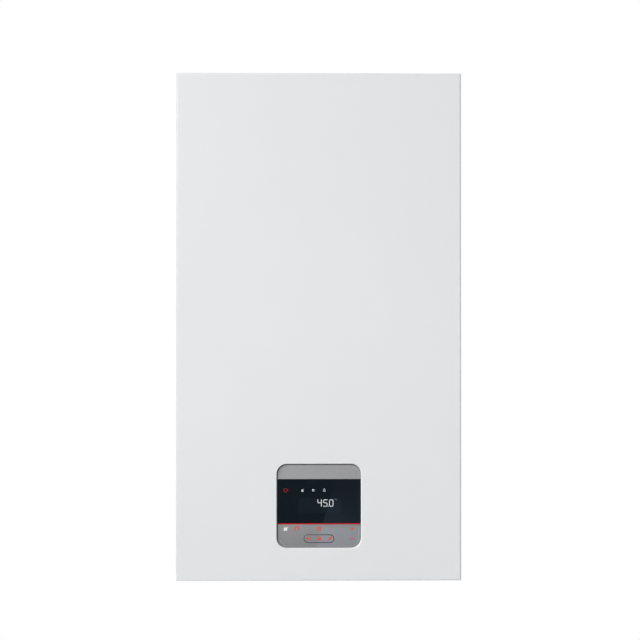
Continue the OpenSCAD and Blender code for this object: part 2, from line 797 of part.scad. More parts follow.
module pump_motor() {
    can_r = 40;
    color(black_plastic) difference() {
        union() {
            rod_d(pump_x, pump_h, [pump_motor_d[0], pump_motor_d[0] + 6], 47);
            rod_d(pump_x, pump_h, [pump_motor_d[0], pump_motor_d[1] - 22], can_r);
            block(about(pump_x, 38), about(pump_h, 38), [pump_motor_d[1] - 28, pump_motor_d[1]]);
        }
        rod_d(pump_x, pump_h, [pump_motor_d[0] - past, pump_motor_d[0] + 50], shaft_r + shaft_clearance);
        for (a = [45 : 90 : 315]) rod_d(pump_x + 43 * cos(a), pump_h + 43 * sin(a),
            [pump_motor_d[0] + 3, pump_motor_d[0] + 7], 2.5);
    }
    color(brass) rod_d(pump_x, pump_h, [pump_motor_d[1], pump_motor_d[1] + 3], 7);
}

module pump_impeller() {
    disc_r = 34;
    blades = 6;
    disc_d = [112, 115];
    color([0.25, 0.25, 0.26]) {
        rod_d(pump_x, pump_h, disc_d, disc_r);
        rod_d(pump_x, pump_h, [92, pump_motor_d[0] + 46], shaft_r);
        rod_d(pump_x, pump_h, [92, disc_d[1]], 9);
        for (i = [0 : blades - 1])
            translate(at(pump_x, pump_h, disc_d[0] + 1)) rotate([0, -i * 360 / blades, 0])
                translate([8, 0, 4]) rotate([0, 24, 0]) cube([22, 14, 2]);
    }
}

module air_vent() {
    x = pump_x - 18;
    base = pump_h + 52;
    color(brass) {
        hex_h(x, tail_d, [base, base + 7], 12);
        rod_h(x, tail_d, [base + 7, base + 34], 13);
        rod_h(x, tail_d, [base + 34, base + 40], 5);
    }
    color("black") rod_h(x + 6, tail_d, [base + 34, base + 38], 3.4);
}

// Diverter valve and plate heat exchanger

module diverter_valve() {
    arm_r = 8;
    color(black_plastic) difference() {
        union() {
            rod_h(diverter_x, tail_d, diverter_h, diverter_r);
            rod_h(diverter_x, tail_d, [diverter_h[1] - 4, diverter_h[1]], diverter_r + 5);
            rod_x(140, tail_d, [diverter_x - 32, diverter_x], 13);
            rod_x(phe_heating_h, tail_d, [diverter_x, -phe_heating_x], arm_r);
            rod_d(-phe_heating_x, phe_heating_h, [phe_d[1], tail_d + 8], arm_r);
            block(about(diverter_x, 5), [diverter_h[0] + 4, diverter_h[1] - 20], [tail_d - 34, tail_d]);
            block(about(diverter_x, 18), [diverter_h[0] + 4, diverter_h[0] + 30], [tail_d, tail_d + 24]);
        }
        rod_h(diverter_x, tail_d, [diverter_h[0] + 14, diverter_h[1] - 8], diverter_bore_r);
        rod_h(diverter_x, tail_d, [diverter_h[0] - past, diverter_h[0] + 20], 9);
        rod_h(diverter_x, tail_d, [diverter_h[1] - 9, diverter_h[1] + past], 3.06);
        rod_x(140, tail_d, [diverter_x - 33, diverter_x - 22], pipe_r + 0.1);
        rod_x(140, tail_d, [diverter_x - 33, diverter_x], 7);
    }
    color(galvanised)
        block(about(diverter_x, 14), [diverter_h[0] + 6, diverter_h[0] + 44], [plate_d[1], tail_d - 34]);
}

module diverter_motor() {
    base = diverter_h[1];
    color(grey_plastic) difference() {
        union() {
            rod_h(diverter_x, tail_d, [base, base + 8], 22);
            translate(at(diverter_x, base + 8, tail_d)) linear_extrude(34) round_rect(44, 44, 6);
            block(about(diverter_x, 10), [base + 18, base + 32], [tail_d + 20, tail_d + 32]);
        }
        rod_h(diverter_x, tail_d, [base - past, base + 24], 3.06);
    }
}

module diverter_plunger() {
    rod_r = 3;
    color(brass) {
        rod_h(diverter_x, tail_d, [100, diverter_h[1] + 10], rod_r);
        rod_h(diverter_x, tail_d, [104, 112], diverter_bore_r - 0.4);
    }
}

module plate_heat_exchanger() {
    plates = 14;
    centre_h = mid(phe_h);
    pitch = (phe_d[1] - phe_d[0] - 6) / plates;
    height = phe_h[1] - phe_h[0];
    color(stainless) {
        face_plate(0, centre_h, 2 * phe_x - 4, height - 4, 8, phe_d);
        for (i = [0 : plates - 1]) {
            start = phe_d[0] + 3 + i * pitch;
            face_plate(0, centre_h, 2 * phe_x, height, 10, [start, start + pitch * 0.6]);
        }
    }
    color(galvanised) for (s = [-1, 1])
        block(about(s * 56, 8), about(centre_h, 12), [plate_d[1], phe_d[0]]);
}

// Water pipes

module flow_pipe() {
    left_x = -174;
    color(copper) pipe([
        at(drum_x - drum_r - 5, drum_h, tail_d), at(left_x, drum_h, tail_d), at(left_x, 140, tail_d),
        at(diverter_x - 23, 140, tail_d)
    ], pipe_r, pipe_wall, 13);
}

module return_pipe() {
    run_h = 265;
    color(copper) pipe([
        at(pump_outlet_x, pump_h + 55, tail_d), at(pump_outlet_x, run_h, tail_d),
        at(return_port[0], run_h, tail_d), at(return_port[0], run_h, return_port[2]),
        at(return_port[0], return_port[1] + 2, return_port[2])
    ], pipe_r, pipe_wall, bend_r);
}

module heating_tails() {
    thread_h = [2, 18];
    top = 60;
    for (s = [-1, 1]) color(brass) difference() {
        union() {
            rod_h(s * return_tail_x, tail_d, [thread_h[0], 52], heating_tail_r);
            hex_h(s * return_tail_x, tail_d, [thread_h[1], 26], 16.2);
            hex_h(s * return_tail_x, tail_d, [48, top], 19);
        }
        rod_h(s * return_tail_x, tail_d, [thread_h[0] - past, top + past], 9.5);
    }
}

module water_pipes() {
    thread_h = [2, 18];
    for (s = [-1, 1]) {
        color(copper) pipe([
            at(s * water_x, thread_h[1], tail_d), at(s * water_x, water_port_h, tail_d),
            at(s * water_x, water_port_h, phe_d[1])
        ], pipe_r, pipe_wall, 14);
        color(brass) difference() {
            union() {
                rod_h(s * water_x, tail_d, [thread_h[0], thread_h[1] + past], water_tail_r);
                hex_h(s * water_x, tail_d, [thread_h[1], 25], 12.4);
            }
            rod_h(s * water_x, tail_d, [thread_h[0] - past, thread_h[1]], pipe_r - pipe_wall);
            rod_h(s * water_x, tail_d, [thread_h[1] - 0.01, 26], pipe_r);
        }
    }
}

// Small fittings

module safety_valve() {
    color(brass) difference() {
        union() {
            rod_h(relief_x, relief_d, [3, 27], relief_r);
            rod_h(relief_x, relief_d, [27 - past, relief_h + 16], relief_r - 0.6);
            rod_h(relief_x, relief_d, [relief_h - 14, relief_h + 14], 13);
            hex_d(relief_x, relief_h, [relief_d, relief_d + 19], 14);
        }
        rod_h(relief_x, relief_d, [3 - past, relief_h - 4], 5.5);
        rod_d(relief_x, relief_h, [relief_d + 6, relief_d + 20], 3.06);
    }
}

module safety_valve_knob() {
    start = relief_d + 19.4;
    color([0.75, 0.08, 0.08]) {
        rod_d(relief_x, relief_h, [relief_d + 8, start + 4], 3);
        rod_d(relief_x, relief_h, [start, start + 18], 14);
        for (a = [0 : 45 : 315])
            rod_d(relief_x + 13 * cos(a), relief_h + 13 * sin(a), [start, start + 18], 2.6);
    }
}

module pressure_gauge() {
    window_h = [25.5, 26.5];
    dial_h = 29;
    color(black_plastic) difference() {
        union() {
            rod_h(gauge_x, gauge_d, [26, base_h[1] + 12], gauge_r);
            rod_h(gauge_x, gauge_d, [window_h[0], base_h[0]], gauge_r + 3);
        }
        rod_h(gauge_x, gauge_d, [24, dial_h], gauge_r - 1);
        rod_h(gauge_x, gauge_d, [dial_h - 1, dial_h + 6], 1.06);
    }
    color("lightblue") rod_h(gauge_x, gauge_d, window_h, gauge_r - 1);
    color(copper) pipe([
        at(gauge_x, base_h[1] + 12, gauge_d), at(gauge_x, 80, gauge_d), at(gauge_x, 80, tail_d + 24)
    ], 1.6, 0, 8);
}

module gauge_needle() {
    color([0.8, 0.1, 0.05]) {
        rod_h(gauge_x, gauge_d, [27.2, 28.6], 2.4);
        rod_h(gauge_x, gauge_d, [27.2, 34], 1);
        block([gauge_x - 0.6, gauge_x + 0.6], [27.4, 28.2], [gauge_d - 5, gauge_d + 14]);
    }
}

module filling_tap() {
    small_r = 4;
    run_d = 132;
    color(brass) difference() {
        union() {
            block(about(tap_x, 12), about(tap_h, 12), about(tap_d, 12));
            hex_h(tap_x, tap_d, [base_h[1], base_h[1] + 8], 12);
            rod_h(tap_x, tap_d, [base_h[0] - 2, tap_h - 11], tap_stem_r);
        }
        rod_h(tap_x, tap_d, [base_h[0] - 3, tap_h - 4], 3.06);
    }
    color(copper) {
        pipe([
            at(tap_x, tap_h, tap_d - 12), at(tap_x, tap_h, run_d), at(water_x, tap_h, run_d),
            at(water_x, tap_h, tail_d + pipe_r)
        ], small_r, 1, 6);
        pipe([
            at(tap_x - 12, tap_h, tap_d), at(-60, tap_h, tap_d), at(-60, tap_h, tail_d),
            at(diverter_x + diverter_r, tap_h, tail_d)
        ], small_r, 1, 6);
    }
}

module filling_tap_knob() {
    color([0.10, 0.25, 0.55]) {
        rod_h(tap_x, tap_d, [14, tap_h - 6], 3);
        rod_h(tap_x, tap_d, [14, base_h[0] - 2.4], 9);
        block(about(tap_x, 22), [6, 20], about(tap_d, 3.5));
    }
}

// Condensate

trap_split = 62;
trap_spigot_r = 26.5;

module condensate_trap() {
    top = 175;
    inner_r = 23.5;
    arm_h = 120;
    color(grey_plastic) difference() {
        union() {
            rod_h(trap_x, trap_d, [trap_split, top], trap_r);
            rod_h(trap_x, trap_d, [48, trap_split + past], trap_spigot_r);
            rod_h(trap_x, trap_d, [top - past, top + 12], 13);
            rod_d(trap_x, arm_h, [trap_d + 20, drain_d], 7);
            rod_h(trap_x, drain_d, [2, 26], drain_r);
            rod_h(trap_x, drain_d, [26 - past, arm_h + 9], drain_r - 0.8);
            for (h = [80 : 20 : 160]) rod_h(trap_x, trap_d, [h, h + 2], trap_r + 1);
        }
        rod_h(trap_x, trap_d, [47, top - 3], inner_r);
        rod_h(trap_x, trap_d, [top - 4, top + 10], 9);
        rod_h(trap_x, trap_d, [top + 4, top + 13], 11.1);
        rod_d(trap_x, arm_h, [trap_d + 18, drain_d], 5);
        rod_h(trap_x, drain_d, [2 - past, arm_h + 6], drain_r - 2);
    }
}

module trap_cup() {
    floor_h = [6, 9];
    grip_r = trap_r + 0.6;
    color([0.25, 0.26, 0.28]) difference() {
        union() {
            rod_h(trap_x, trap_d, [floor_h[0], trap_split - 0.3], trap_r);
            block(about(trap_x, 18), [floor_h[0] - 4, floor_h[0] + past], about(trap_d, 2));
        }
        rod_h(trap_x, trap_d, [floor_h[1], trap_split + past], trap_spigot_r + 0.3);
        for (a = [0 : 30 : 330])
            rod_h(trap_x + grip_r * cos(a), trap_d + grip_r * sin(a), [floor_h[0] - past, 24], 1.6);
    }
}

module condensate_hose() {
    color([0.30, 0.31, 0.33]) pipe([
        at(sump_port[0], sump_port[1] + 1, trap_d), at(sump_port[0], 225, trap_d),
        at(trap_x, 225, trap_d), at(trap_x, 180, trap_d)
    ], 11, 2, 20);
}

module cable_gland() {
    bore_r = 4.5;
    color(black_plastic) difference() {
        union() {
            rod_h(gland_x, gland_d, [18, 44], gland_r);
            hex_h(gland_x, gland_d, [20, base_h[0]], 13);
            hex_h(gland_x, gland_d, [base_h[1], base_h[1] + 5], 13);
            rod_h(gland_x, gland_d, [12, 20], 9.5);
        }
        rod_h(gland_x, gland_d, [12 - past, 45], bore_r);
    }
}

// Control box

module control_box_hinges() {
    plate_x = [box_x + 2, box_x + 4];
    stop_h = [pivot_h + 56, pivot_h + 78];
    color(galvanised) for (s = [0, 1]) mirror([s, 0, 0]) {
        block(plate_x, [base_h[1], pivot_h + 10], [lid_d[0] - 8, pivot_d + 8]);
        block([plate_x[0], plate_x[1] + 10], [base_h[1], base_h[1] + 2], [lid_d[0] - 8, pivot_d - 16]);
        block(plate_x, [base_h[1], stop_h[1]], [lid_d[0] - 10, lid_d[0] - 0.4]);
        block([plate_x[0] - 14, plate_x[1]], stop_h, [lid_d[0] - 2.8, lid_d[0] - 0.4]);
        rod_x(pivot_h, pivot_d, [box_x - 4, plate_x[0] + past], pivot_r);
    }
}

module box_front_cuts() {
    block(grown(lcd_x, 4), grown(lcd_h, 4), about(box_d[1], 5));
    rod_d(key_x, key_h, about(box_d[1], 5), key_rod_r + pivot_clearance);
}

module control_box_tray() {
    post_r = 4;
    inner_d = [box_d[0] - past, box_d[1] - box_wall];
    color(black_plastic) difference() {
        union() {
            difference() {
                block([-box_x, box_x], box_h, box_d);
                block(about(0, box_x - box_wall), grown(box_h, -box_wall), inner_d);
            }
            for (s = [-1, 1], h = [box_h[0] + 20, box_h[1] - 20])
                rod_d(s * 140, h, [board_d[1], box_d[1] - past], post_r);
            for (x = [-150 : 50 : 150])
                block(about(x, 1), [box_h[1] - past, box_h[1] + 2], [box_d[0] + 6, box_d[1] - 8]);
        }
        box_front_cuts();
        rod_x(pivot_h, pivot_d, [-box_x - past, box_x + past], pivot_r + pivot_clearance);
    }
}

module control_box_lid() {
    color(black_plastic) {
        block([-box_x, box_x], box_h, lid_d);
        for (h = [box_h[0] + 22 : 18 : box_h[1] - 20])
            block([-box_x + 20, box_x - 20], [h, h + 3], [lid_d[0] - 1.5, lid_d[0]]);
        for (s = [-1, 1]) block(about(s * 100, 16), [box_h[1] - 30, box_h[1] - 12], [lid_d[0] - 7, lid_d[0]]);
    }
}

module main_board() {
    back = board_d[0];
    front = board_d[1];
    board_x = 152;
    board_h = [box_h[0] + 10, box_h[1] - 8];
    color([0.05, 0.35, 0.18]) block([-board_x, board_x], board_h, board_d);
    color([0.15, 0.15, 0.17]) {
        block([-130, -85], [box_h[0] + 40, box_h[0] + 80], [back - 22, back]);
        block([50, 100], [box_h[0] + 60, box_h[0] + 100], [back - 18, back]);
        block(about(key_x, 3), about(key_h, 3), [front, case_d - 24.2]);
        for (x = [-60 : 22 : 28]) block([x, x + 14], [box_h[0] + 84, box_h[0] + 100], [back - 12, back]);
    }
    color("white") for (x = [-140 : 26 : 120])
        block([x, x + 20], [box_h[0] + 14, box_h[0] + 26], [back - 14, back]);
    color([0.2, 0.25, 0.5]) for (x = [-50, -20, 12]) rod_d(x, box_h[0] + 56, [back - 20, back], 8);
}

// Control panel

module key_shape(grow) {
    w = key_length + 2 * grow;
    h = key_width + 2 * grow;
    square([w - h, h], center = true);
    for (s = [-1, 1]) translate([s * (w - h) / 2, 0]) circle(h / 2);
}

module display_bezel() {
    half = panel_side / 2;
    lcd_gap = 3;
    through_d = [bezel_base_d[0] - past, face_d + past];
    color(silver_plastic) difference() {
        face_plate(panel_x, panel_h, panel_side, panel_side, panel_corner_r, [bezel_base_d[0], face_d]);
        block(about(panel_x, half + past), glass_h, [bezel_base_d[1], face_d + past]);
        block(grown(lcd_x, lcd_gap), grown(lcd_h, lcd_gap), through_d);
        translate(at(key_x, key_h, through_d[0])) rotate([90, 0, 0])
            linear_extrude(through_d[1] - through_d[0]) key_shape(key_gap);
    }
}

module display_glass() {
    inset = 0.2;
    color([0.08, 0.11, 0.14])
        block(about(panel_x, panel_side / 2 - inset), grown(glass_h, -inset), [bezel_base_d[1], face_d - 0.1]);
}

module lcd_module() {
    edge = 1.5;
    color([0.10, 0.14, 0.17])
        block(grown(lcd_x, edge), grown(lcd_h, edge), [board_d[1], bezel_base_d[1]]);
}

module menu_key_stem() {
    ear = [2.2, 4.2];
    neck_d = [key_pin_d - 3.2, key_pin_d - 2.2];
    ear_d = [key_pin_d - 2.8, key_pin_d + 1.3];
    color(grey_plastic) {
        rod_d(key_x, key_h, [case_d - 23, neck_d[1]], key_rod_r);
        rod_d(key_x, key_h, [box_d[1] - box_wall - 1.5, box_d[1] - box_wall - 0.3], 4);
        block(about(key_x, ear[0]), about(key_h, ear[1]), neck_d);
        for (s = [-1, 1]) {
            h = s > 0 ? [key_h + ear[0], key_h + ear[1]] : [key_h - ear[1], key_h - ear[0]];
            block(about(key_x, ear[0]), h, ear_d);
        }
        rod_h(key_x, key_pin_d, about(key_h, ear[1]), key_pin_r);
    }
}

module menu_key_bar() {
    plate_d = [face_d - 2.6, face_d - 0.2];
    color(silver_plastic) difference() {
        union() {
            translate(at(key_x, key_h, plate_d[0])) rotate([90, 0, 0])
                linear_extrude(plate_d[1] - plate_d[0]) key_shape(0);
            block(about(key_x, 2.1), about(key_h, 1.9), [key_pin_d - 1.7, plate_d[0] + 0.5]);
        }
        rod_h(key_x, key_pin_d, about(key_h, 6), key_pin_r + pivot_clearance);
    }
}

// Front cover

module folded_tray(inset) {
    r = cover_edge_r - min(inset, sheet);
    w = case_w - 2 * inset;
    h = case_h - 2 * inset;
    front = case_d - inset;
    back = inset > 0 ? fold_d - past : fold_d;
    depth = front - back;
    intersection() {
        translate([0, 0, -screw_h + inset]) linear_extrude(h) {
            translate([-w / 2, -front + r]) square([w, depth - r]);
            translate([-w / 2 + r, -front]) square([w - 2 * r, depth]);
            for (s = [-1, 1]) translate([s * (w / 2 - r), -front + r]) circle(r);
        }
        translate([-case_w, 0, 0]) rotate([90, 0, 90]) linear_extrude(2 * case_w) {
            bottom = -screw_h + inset;
            translate([-front + r, bottom]) square([depth - r, h]);
            translate([-front, bottom + r]) square([depth, h - 2 * r]);
            for (v = [bottom + r, bottom + h - r]) translate([-front + r, v]) circle(r);
        }
    }
}

// What a rounded lip leaves out at its edge: the section runs outwards from the window
module lip_section(r) {
    difference() {
        translate([-past, 0]) square([r + past, r + past]);
        translate([r, 0]) circle(r);
        translate([r, -past]) square([past, r + 2 * past]);
    }
}

// The rounding round the window's front edge
module window_lip(window, window_r, r) {
    straight = window / 2 - window_r;
    for (a = [0 : 90 : 270]) translate(at(panel_x, panel_h, case_d - r)) rotate([0, a, 0]) {
        translate([window / 2, 0, -straight]) linear_extrude(2 * straight) mirror([0, 1]) lip_section(r);
        translate([straight, 0, straight]) rotate([90, 0, 0]) rotate_extrude(angle = 90)
            translate([window_r, 0]) lip_section(r);
    }
}

// The frame of the cover's window: it is let into the sheet, and its rim reaches back past the panel
module window_frame(half) {
    window = panel_side + 2 * panel_gap;
    window_r = panel_corner_r + panel_gap;
    rim = window + 2 * sheet;
    rim_d = [case_d - panel_recess - 2, case_d - sheet / 2];
    difference() {
        union() {
            block(about(panel_x, half), about(panel_h, half), [case_d - sheet, case_d]);
            face_plate(panel_x, panel_h, rim, rim, window_r + sheet, rim_d);
        }
        face_plate(panel_x, panel_h, window, window, window_r, [rim_d[0] - past, case_d + past]);
        window_lip(window, window_r, sheet);
    }
}

module front_cover() {
    frame_half = panel_side / 2 + panel_gap + 8;
    hole_half = frame_half + split;
    cup_r = 6;
    cup_h = 2.4;
    color(paint) difference() {
        union() {
            difference() {
                folded_tray(0);
                folded_tray(sheet);
            }
            for (s = [-1, 1])
                rod_h(s * cover_screw_x, cover_screw_d, [0.4, cup_h + sheet - 0.2], cup_r + sheet);
        }
        block(about(panel_x, hole_half), about(panel_h, hole_half), [case_d - 2 * sheet, case_d + past]);
        for (s = [-1, 1]) {
            rod_h(s * cover_screw_x, cover_screw_d, [-past, cup_h], cup_r);
            rod_h(s * cover_screw_x, cover_screw_d, [-past, cup_h + 3], 2.4);
        }
    }
    color(paint) window_frame(frame_half);
}

module cover_screws() {
    color(galvanised) for (s = [-1, 1]) difference() {
        union() {
            rod_h(s * cover_screw_x, cover_screw_d, [0.3, 2.4], 4);
            rod_h(s * cover_screw_x, cover_screw_d, [1, 9], 2);
        }
        hex_h(s * cover_screw_x, cover_screw_d, [-past, 1.6], 1.9);
    }
}

module front_seal() {
    strip_x = side_inner - 0.3;
    strip_h = [base_h[0] - 12, case_h - 6];
    strip_d = [panel_end_d, panel_end_d + 3];
    width = 9;
    color([0.2, 0.2, 0.2]) difference() {
        block([-strip_x, strip_x], strip_h, strip_d);
        block([-strip_x + width, strip_x - width], [strip_h[0] + width, strip_h[1] - width],
            [strip_d[0] - past, strip_d[1] + past]);
    }
}

back_frame();
wall_bracket();
left_side_panel();
right_side_panel();
top_plate();
base_plate();
pipe_grommets();
flue_collar();
flue_seals();
flue_pipe();
expansion_vessel();
vessel_pipe();
heat_exchanger_shell();
heat_exchanger_coil();
burner_door();
burner_tube();
burner_door_nuts();
door_seal();
ignition_electrode();
gas_air_duct();
fan_housing();
fan_motor();
fan_impeller();
venturi();
gas_valve();
gas_pipe();
pump_body();
pump_motor();
pump_impeller();
air_vent();
diverter_valve();
diverter_motor();
diverter_plunger();
plate_heat_exchanger();
flow_pipe();
return_pipe();
heating_tails();
water_pipes();
safety_valve();
safety_valve_knob();
pressure_gauge();
gauge_needle();
filling_tap();
filling_tap_knob();
condensate_trap();
trap_cup();
condensate_hose();
cable_gland();
control_box_hinges();
front_cover();
front_seal();
cover_screws();
control_box_tray();
control_box_lid();
main_board();
display_bezel();
display_glass();
lcd_module();
menu_key_stem();
menu_key_bar();
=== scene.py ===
"""The finish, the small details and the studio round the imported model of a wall-hung boiler.

Lengths are metres in the shared frame. Places are also given in case terms, in millimetres:
x to the right, h above the case's bottom edge, d off the wall.
"""
import math

import bmesh
import bpy
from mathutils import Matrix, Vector
from mathutils.geometry import tessellate_polygon


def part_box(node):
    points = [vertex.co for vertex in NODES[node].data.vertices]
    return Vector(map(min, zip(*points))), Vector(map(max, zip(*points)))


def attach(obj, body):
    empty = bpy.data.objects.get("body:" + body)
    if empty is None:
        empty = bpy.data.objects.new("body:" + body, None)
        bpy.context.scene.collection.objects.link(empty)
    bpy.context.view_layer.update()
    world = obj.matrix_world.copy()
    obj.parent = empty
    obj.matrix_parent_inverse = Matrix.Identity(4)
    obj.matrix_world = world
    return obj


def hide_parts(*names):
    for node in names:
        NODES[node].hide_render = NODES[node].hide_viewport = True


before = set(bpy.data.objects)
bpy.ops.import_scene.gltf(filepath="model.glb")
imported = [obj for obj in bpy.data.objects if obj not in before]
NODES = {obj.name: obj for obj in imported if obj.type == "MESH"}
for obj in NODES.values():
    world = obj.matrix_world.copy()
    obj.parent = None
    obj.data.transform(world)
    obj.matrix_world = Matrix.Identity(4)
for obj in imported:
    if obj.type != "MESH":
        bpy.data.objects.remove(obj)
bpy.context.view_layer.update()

MM = 0.001
COVER_LOW, COVER_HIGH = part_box("front_cover")
CASE_BOTTOM = COVER_LOW.z
PANEL_LOW, PANEL_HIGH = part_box("display_bezel")
PANEL_SIDE = (PANEL_HIGH.x - PANEL_LOW.x) / MM
PANEL_X = (PANEL_LOW.x + PANEL_HIGH.x) / 2 / MM
PANEL_H = ((PANEL_LOW.z + PANEL_HIGH.z) / 2 - CASE_BOTTOM) / MM
PANEL_BACK = -PANEL_HIGH.y / MM
PANEL_FACE = -PANEL_LOW.y / MM
GLASS_LOW, GLASS_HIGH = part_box("display_glass")
GLASS_FACE = -GLASS_LOW.y / MM
GLASS_BACK = -GLASS_HIGH.y / MM
PANEL_CORNER = 14.0
KEY_LOW, KEY_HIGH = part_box("menu_key_bar")
KEY_X = (KEY_LOW.x + KEY_HIGH.x) / 2 / MM
KEY_H = ((KEY_LOW.z + KEY_HIGH.z) / 2 - CASE_BOTTOM) / MM
KEY_FACE = -KEY_LOW.y / MM
KEY_DROP = 45.8
MARKS_H = KEY_H + KEY_DROP
GAUGE_X, GAUGE_D = -90.0, 190.0


def at(x, h, d):
    """A place in case terms, in the shared frame."""
    return Vector((x * MM, -d * MM, CASE_BOTTOM + h * MM))


def case_h(z):
    """A height in the shared frame, in case terms."""
    return (z - CASE_BOTTOM) / MM


# Node graphs of the materials

def linear(level):
    """An sRGB level of 0 to 255 as a linear value."""
    v = level / 255
    return v / 12.92 if v <= 0.04045 else ((v + 0.055) / 1.055) ** 2.4


def rgb(r, g, b):
    """An sRGB colour as the linear colour that a shader takes."""
    return (linear(r), linear(g), linear(b), 1.0)


def shade(colour, factor):
    """A colour made darker or lighter."""
    return tuple(min(1.0, c * factor) for c in colour[:3]) + (1.0,)


def neutral(colour):
    """The grey that is as light as a colour."""
    level = sum(colour[:3]) / 3
    return (level, level, level, 1.0)


class Graph:
    """The nodes of one material, or of the world."""

    def __init__(self, name, world=False):
        self.owner = (bpy.data.worlds if world else bpy.data.materials).new(name)
        self.owner.use_nodes = True
        self.tree = self.owner.node_tree
        self.tree.nodes.clear()
        self.place = self.add("TexCoord").outputs["Object"]

    def add(self, kind, inputs=None, **settings):
        """Adds a node; a value that is a socket is linked, any other is set."""
        node = self.tree.nodes.new("ShaderNode" + kind)
        for key, value in settings.items():
            setattr(node, key, value)
        for key, value in (inputs or {}).items():
            if isinstance(value, bpy.types.NodeSocket):
                self.tree.links.new(value, node.inputs[key])
            else:
                node.inputs[key].default_value = value
        return node

    def math(self, operation, a, b):
        return self.add("Math", {0: a, 1: b}, operation=operation).outputs[0]

    def mix(self, factor, a, b):
        """Mixes two colours."""
        return self.add("Mix", {0: factor, 6: a, 7: b}, data_type="RGBA").outputs[2]

    def stretched(self, scale):
        """The object's own place, scaled along each axis."""
        return self.add("Mapping", {"Vector": self.place, "Scale": scale}).outputs[0]

    def noise(self, scale, detail=3.0, vector=None):
        inputs = {"Vector": vector or self.place, "Scale": scale, "Detail": detail}
        return self.add("TexNoise", inputs).outputs[0]

    def cells(self, scale):
        """A cell pattern: its distance and its colour."""
        outputs = self.add("TexVoronoi", {"Vector": self.place, "Scale": scale}).outputs
        return outputs["Distance"], outputs["Color"]

    def spread(self, value, low, high, start=0.3, end=0.7):
        """Maps start..end to low..high."""
        inputs = {"Value": value, "From Min": start, "From Max": end, "To Min": low, "To Max": high}
        return self.add("MapRange", inputs).outputs[0]

    def axis(self, name):
        """One coordinate of the place, in metres."""
        return self.add("SeparateXYZ", {0: self.place}).outputs[name]

    def band(self, value, start, end, soft):
        """1 between start and end, and 0 outside, with soft edges."""
        rise = self.spread(value, 0.0, 1.0, start - soft, start)
        fall = self.spread(value, 1.0, 0.0, end, end + soft)
        return self.math("MULTIPLY", rise, fall)

    def relief(self, height, depth, edge):
        """A normal from a height in metres times depth, over edges rounded to a radius."""
        rounded = self.add("Bevel", {"Radius": edge}, samples=4).outputs[0]
        inputs = {"Strength": 1.0, "Distance": depth, "Height": height, "Normal": rounded}
        return self.add("Bump", inputs).outputs[0]

    def finish(self, inputs):
        """Ends the graph in a principled shader."""
        shader = self.add("BsdfPrincipled", inputs)
        self.add("OutputMaterial", {"Surface": shader.outputs[0]})
        return self.owner


def mottled(g, colour, amount, scale):
    """The colour, a little darker and lighter over the surface."""
    return g.mix(g.spread(g.noise(scale), 0.0, 1.0), shade(colour, 1 - amount), shade(colour, 1 + amount))


def plastic(name, colour, roughness=0.45, grain=900.0, depth=0.00003, mottle=0.03, edge=0.0004):
    """Moulded plastic or paint with a fine grain."""
    g = Graph(name)
    fine = g.noise(grain, 2.0)
    return g.finish({
        "Base Color": mottled(g, colour, mottle, 14.0),
        "Roughness": g.spread(g.noise(35.0), roughness - 0.05, roughness + 0.07),
        "Normal": g.relief(fine, depth, edge),
    })


def powder_coat():
    """White powder coat with a shallow orange peel."""
    g = Graph("white_powder_coat")
    peel = g.math("ADD", g.noise(520.0, 1.0), g.math("MULTIPLY", g.noise(2200.0, 1.0), 0.3))
    return g.finish({
        "Base Color": mottled(g, rgb(231, 232, 233), 0.006, 5.0),
        "Roughness": g.spread(g.noise(60.0), 0.36, 0.44),
        "Normal": g.relief(peel, 0.00001, 0.0005),
    })


def zinc():
    """Zinc coated sheet with its spangle."""
    g = Graph("zinc_sheet")
    distance, colour = g.cells(85.0)
    tone = g.add("SeparateColor", {0: colour}).outputs[0]
    scratches = g.noise(90.0, 4.0, g.stretched((1.0, 1.0, 14.0)))
    base = g.mix(tone, rgb(158, 163, 168), rgb(196, 200, 204))
    return g.finish({
        "Base Color": g.mix(g.spread(g.noise(8.0), 0.0, 0.35), base, rgb(150, 152, 152)),
        "Metallic": 0.85,
        "Roughness": g.math("ADD", g.spread(tone, 0.34, 0.48, 0.0, 1.0), g.spread(scratches, 0.0, 0.06)),
        "Normal": g.relief(distance, 0.00003, 0.0003),
    })


def stainless(name, tint_from, tint_to, stretch=(30.0, 1.0, 30.0)):
    """Brushed stainless steel, heat marked between two depths."""
    g = Graph(name)
    brushing = g.noise(60.0, 5.0, g.stretched(stretch))
    depth = g.math("MULTIPLY", g.axis("Y"), -1.0)
    wave = g.math("ADD", depth, g.math("MULTIPLY", g.noise(25.0), 0.006))
    straw = g.band(wave, tint_from, tint_to, 0.004)
    blue = g.band(wave, tint_from + 0.003, tint_to - 0.002, 0.002)
    steel = g.mix(g.spread(brushing, 0.0, 1.0), rgb(172, 173, 176), rgb(206, 207, 209))
    warm = g.mix(g.math("MULTIPLY", straw, 0.55), steel, rgb(186, 146, 88))
    return g.finish({
        "Base Color": g.mix(g.math("MULTIPLY", blue, 0.45), warm, rgb(96, 104, 142)),
        "Metallic": 1.0,
        "Roughness": g.spread(brushing, 0.24, 0.38),
        "Normal": g.relief(brushing, 0.00004, 0.0004),
    })


def cast_metal(name, colour, metallic=0.9, roughness=0.5):
    """Die cast or sand cast metal with a grainy skin."""
    g = Graph(name)
    skin = g.math("ADD", g.noise(420.0, 4.0), g.math("MULTIPLY", g.noise(60.0), 0.6))
    return g.finish({
        "Base Color": mottled(g, colour, 0.07, 22.0),
        "Metallic": metallic,
        "Roughness": g.spread(g.noise(110.0), roughness - 0.08, roughness + 0.1),
        "Normal": g.relief(skin, 0.00012, 0.0008),
    })


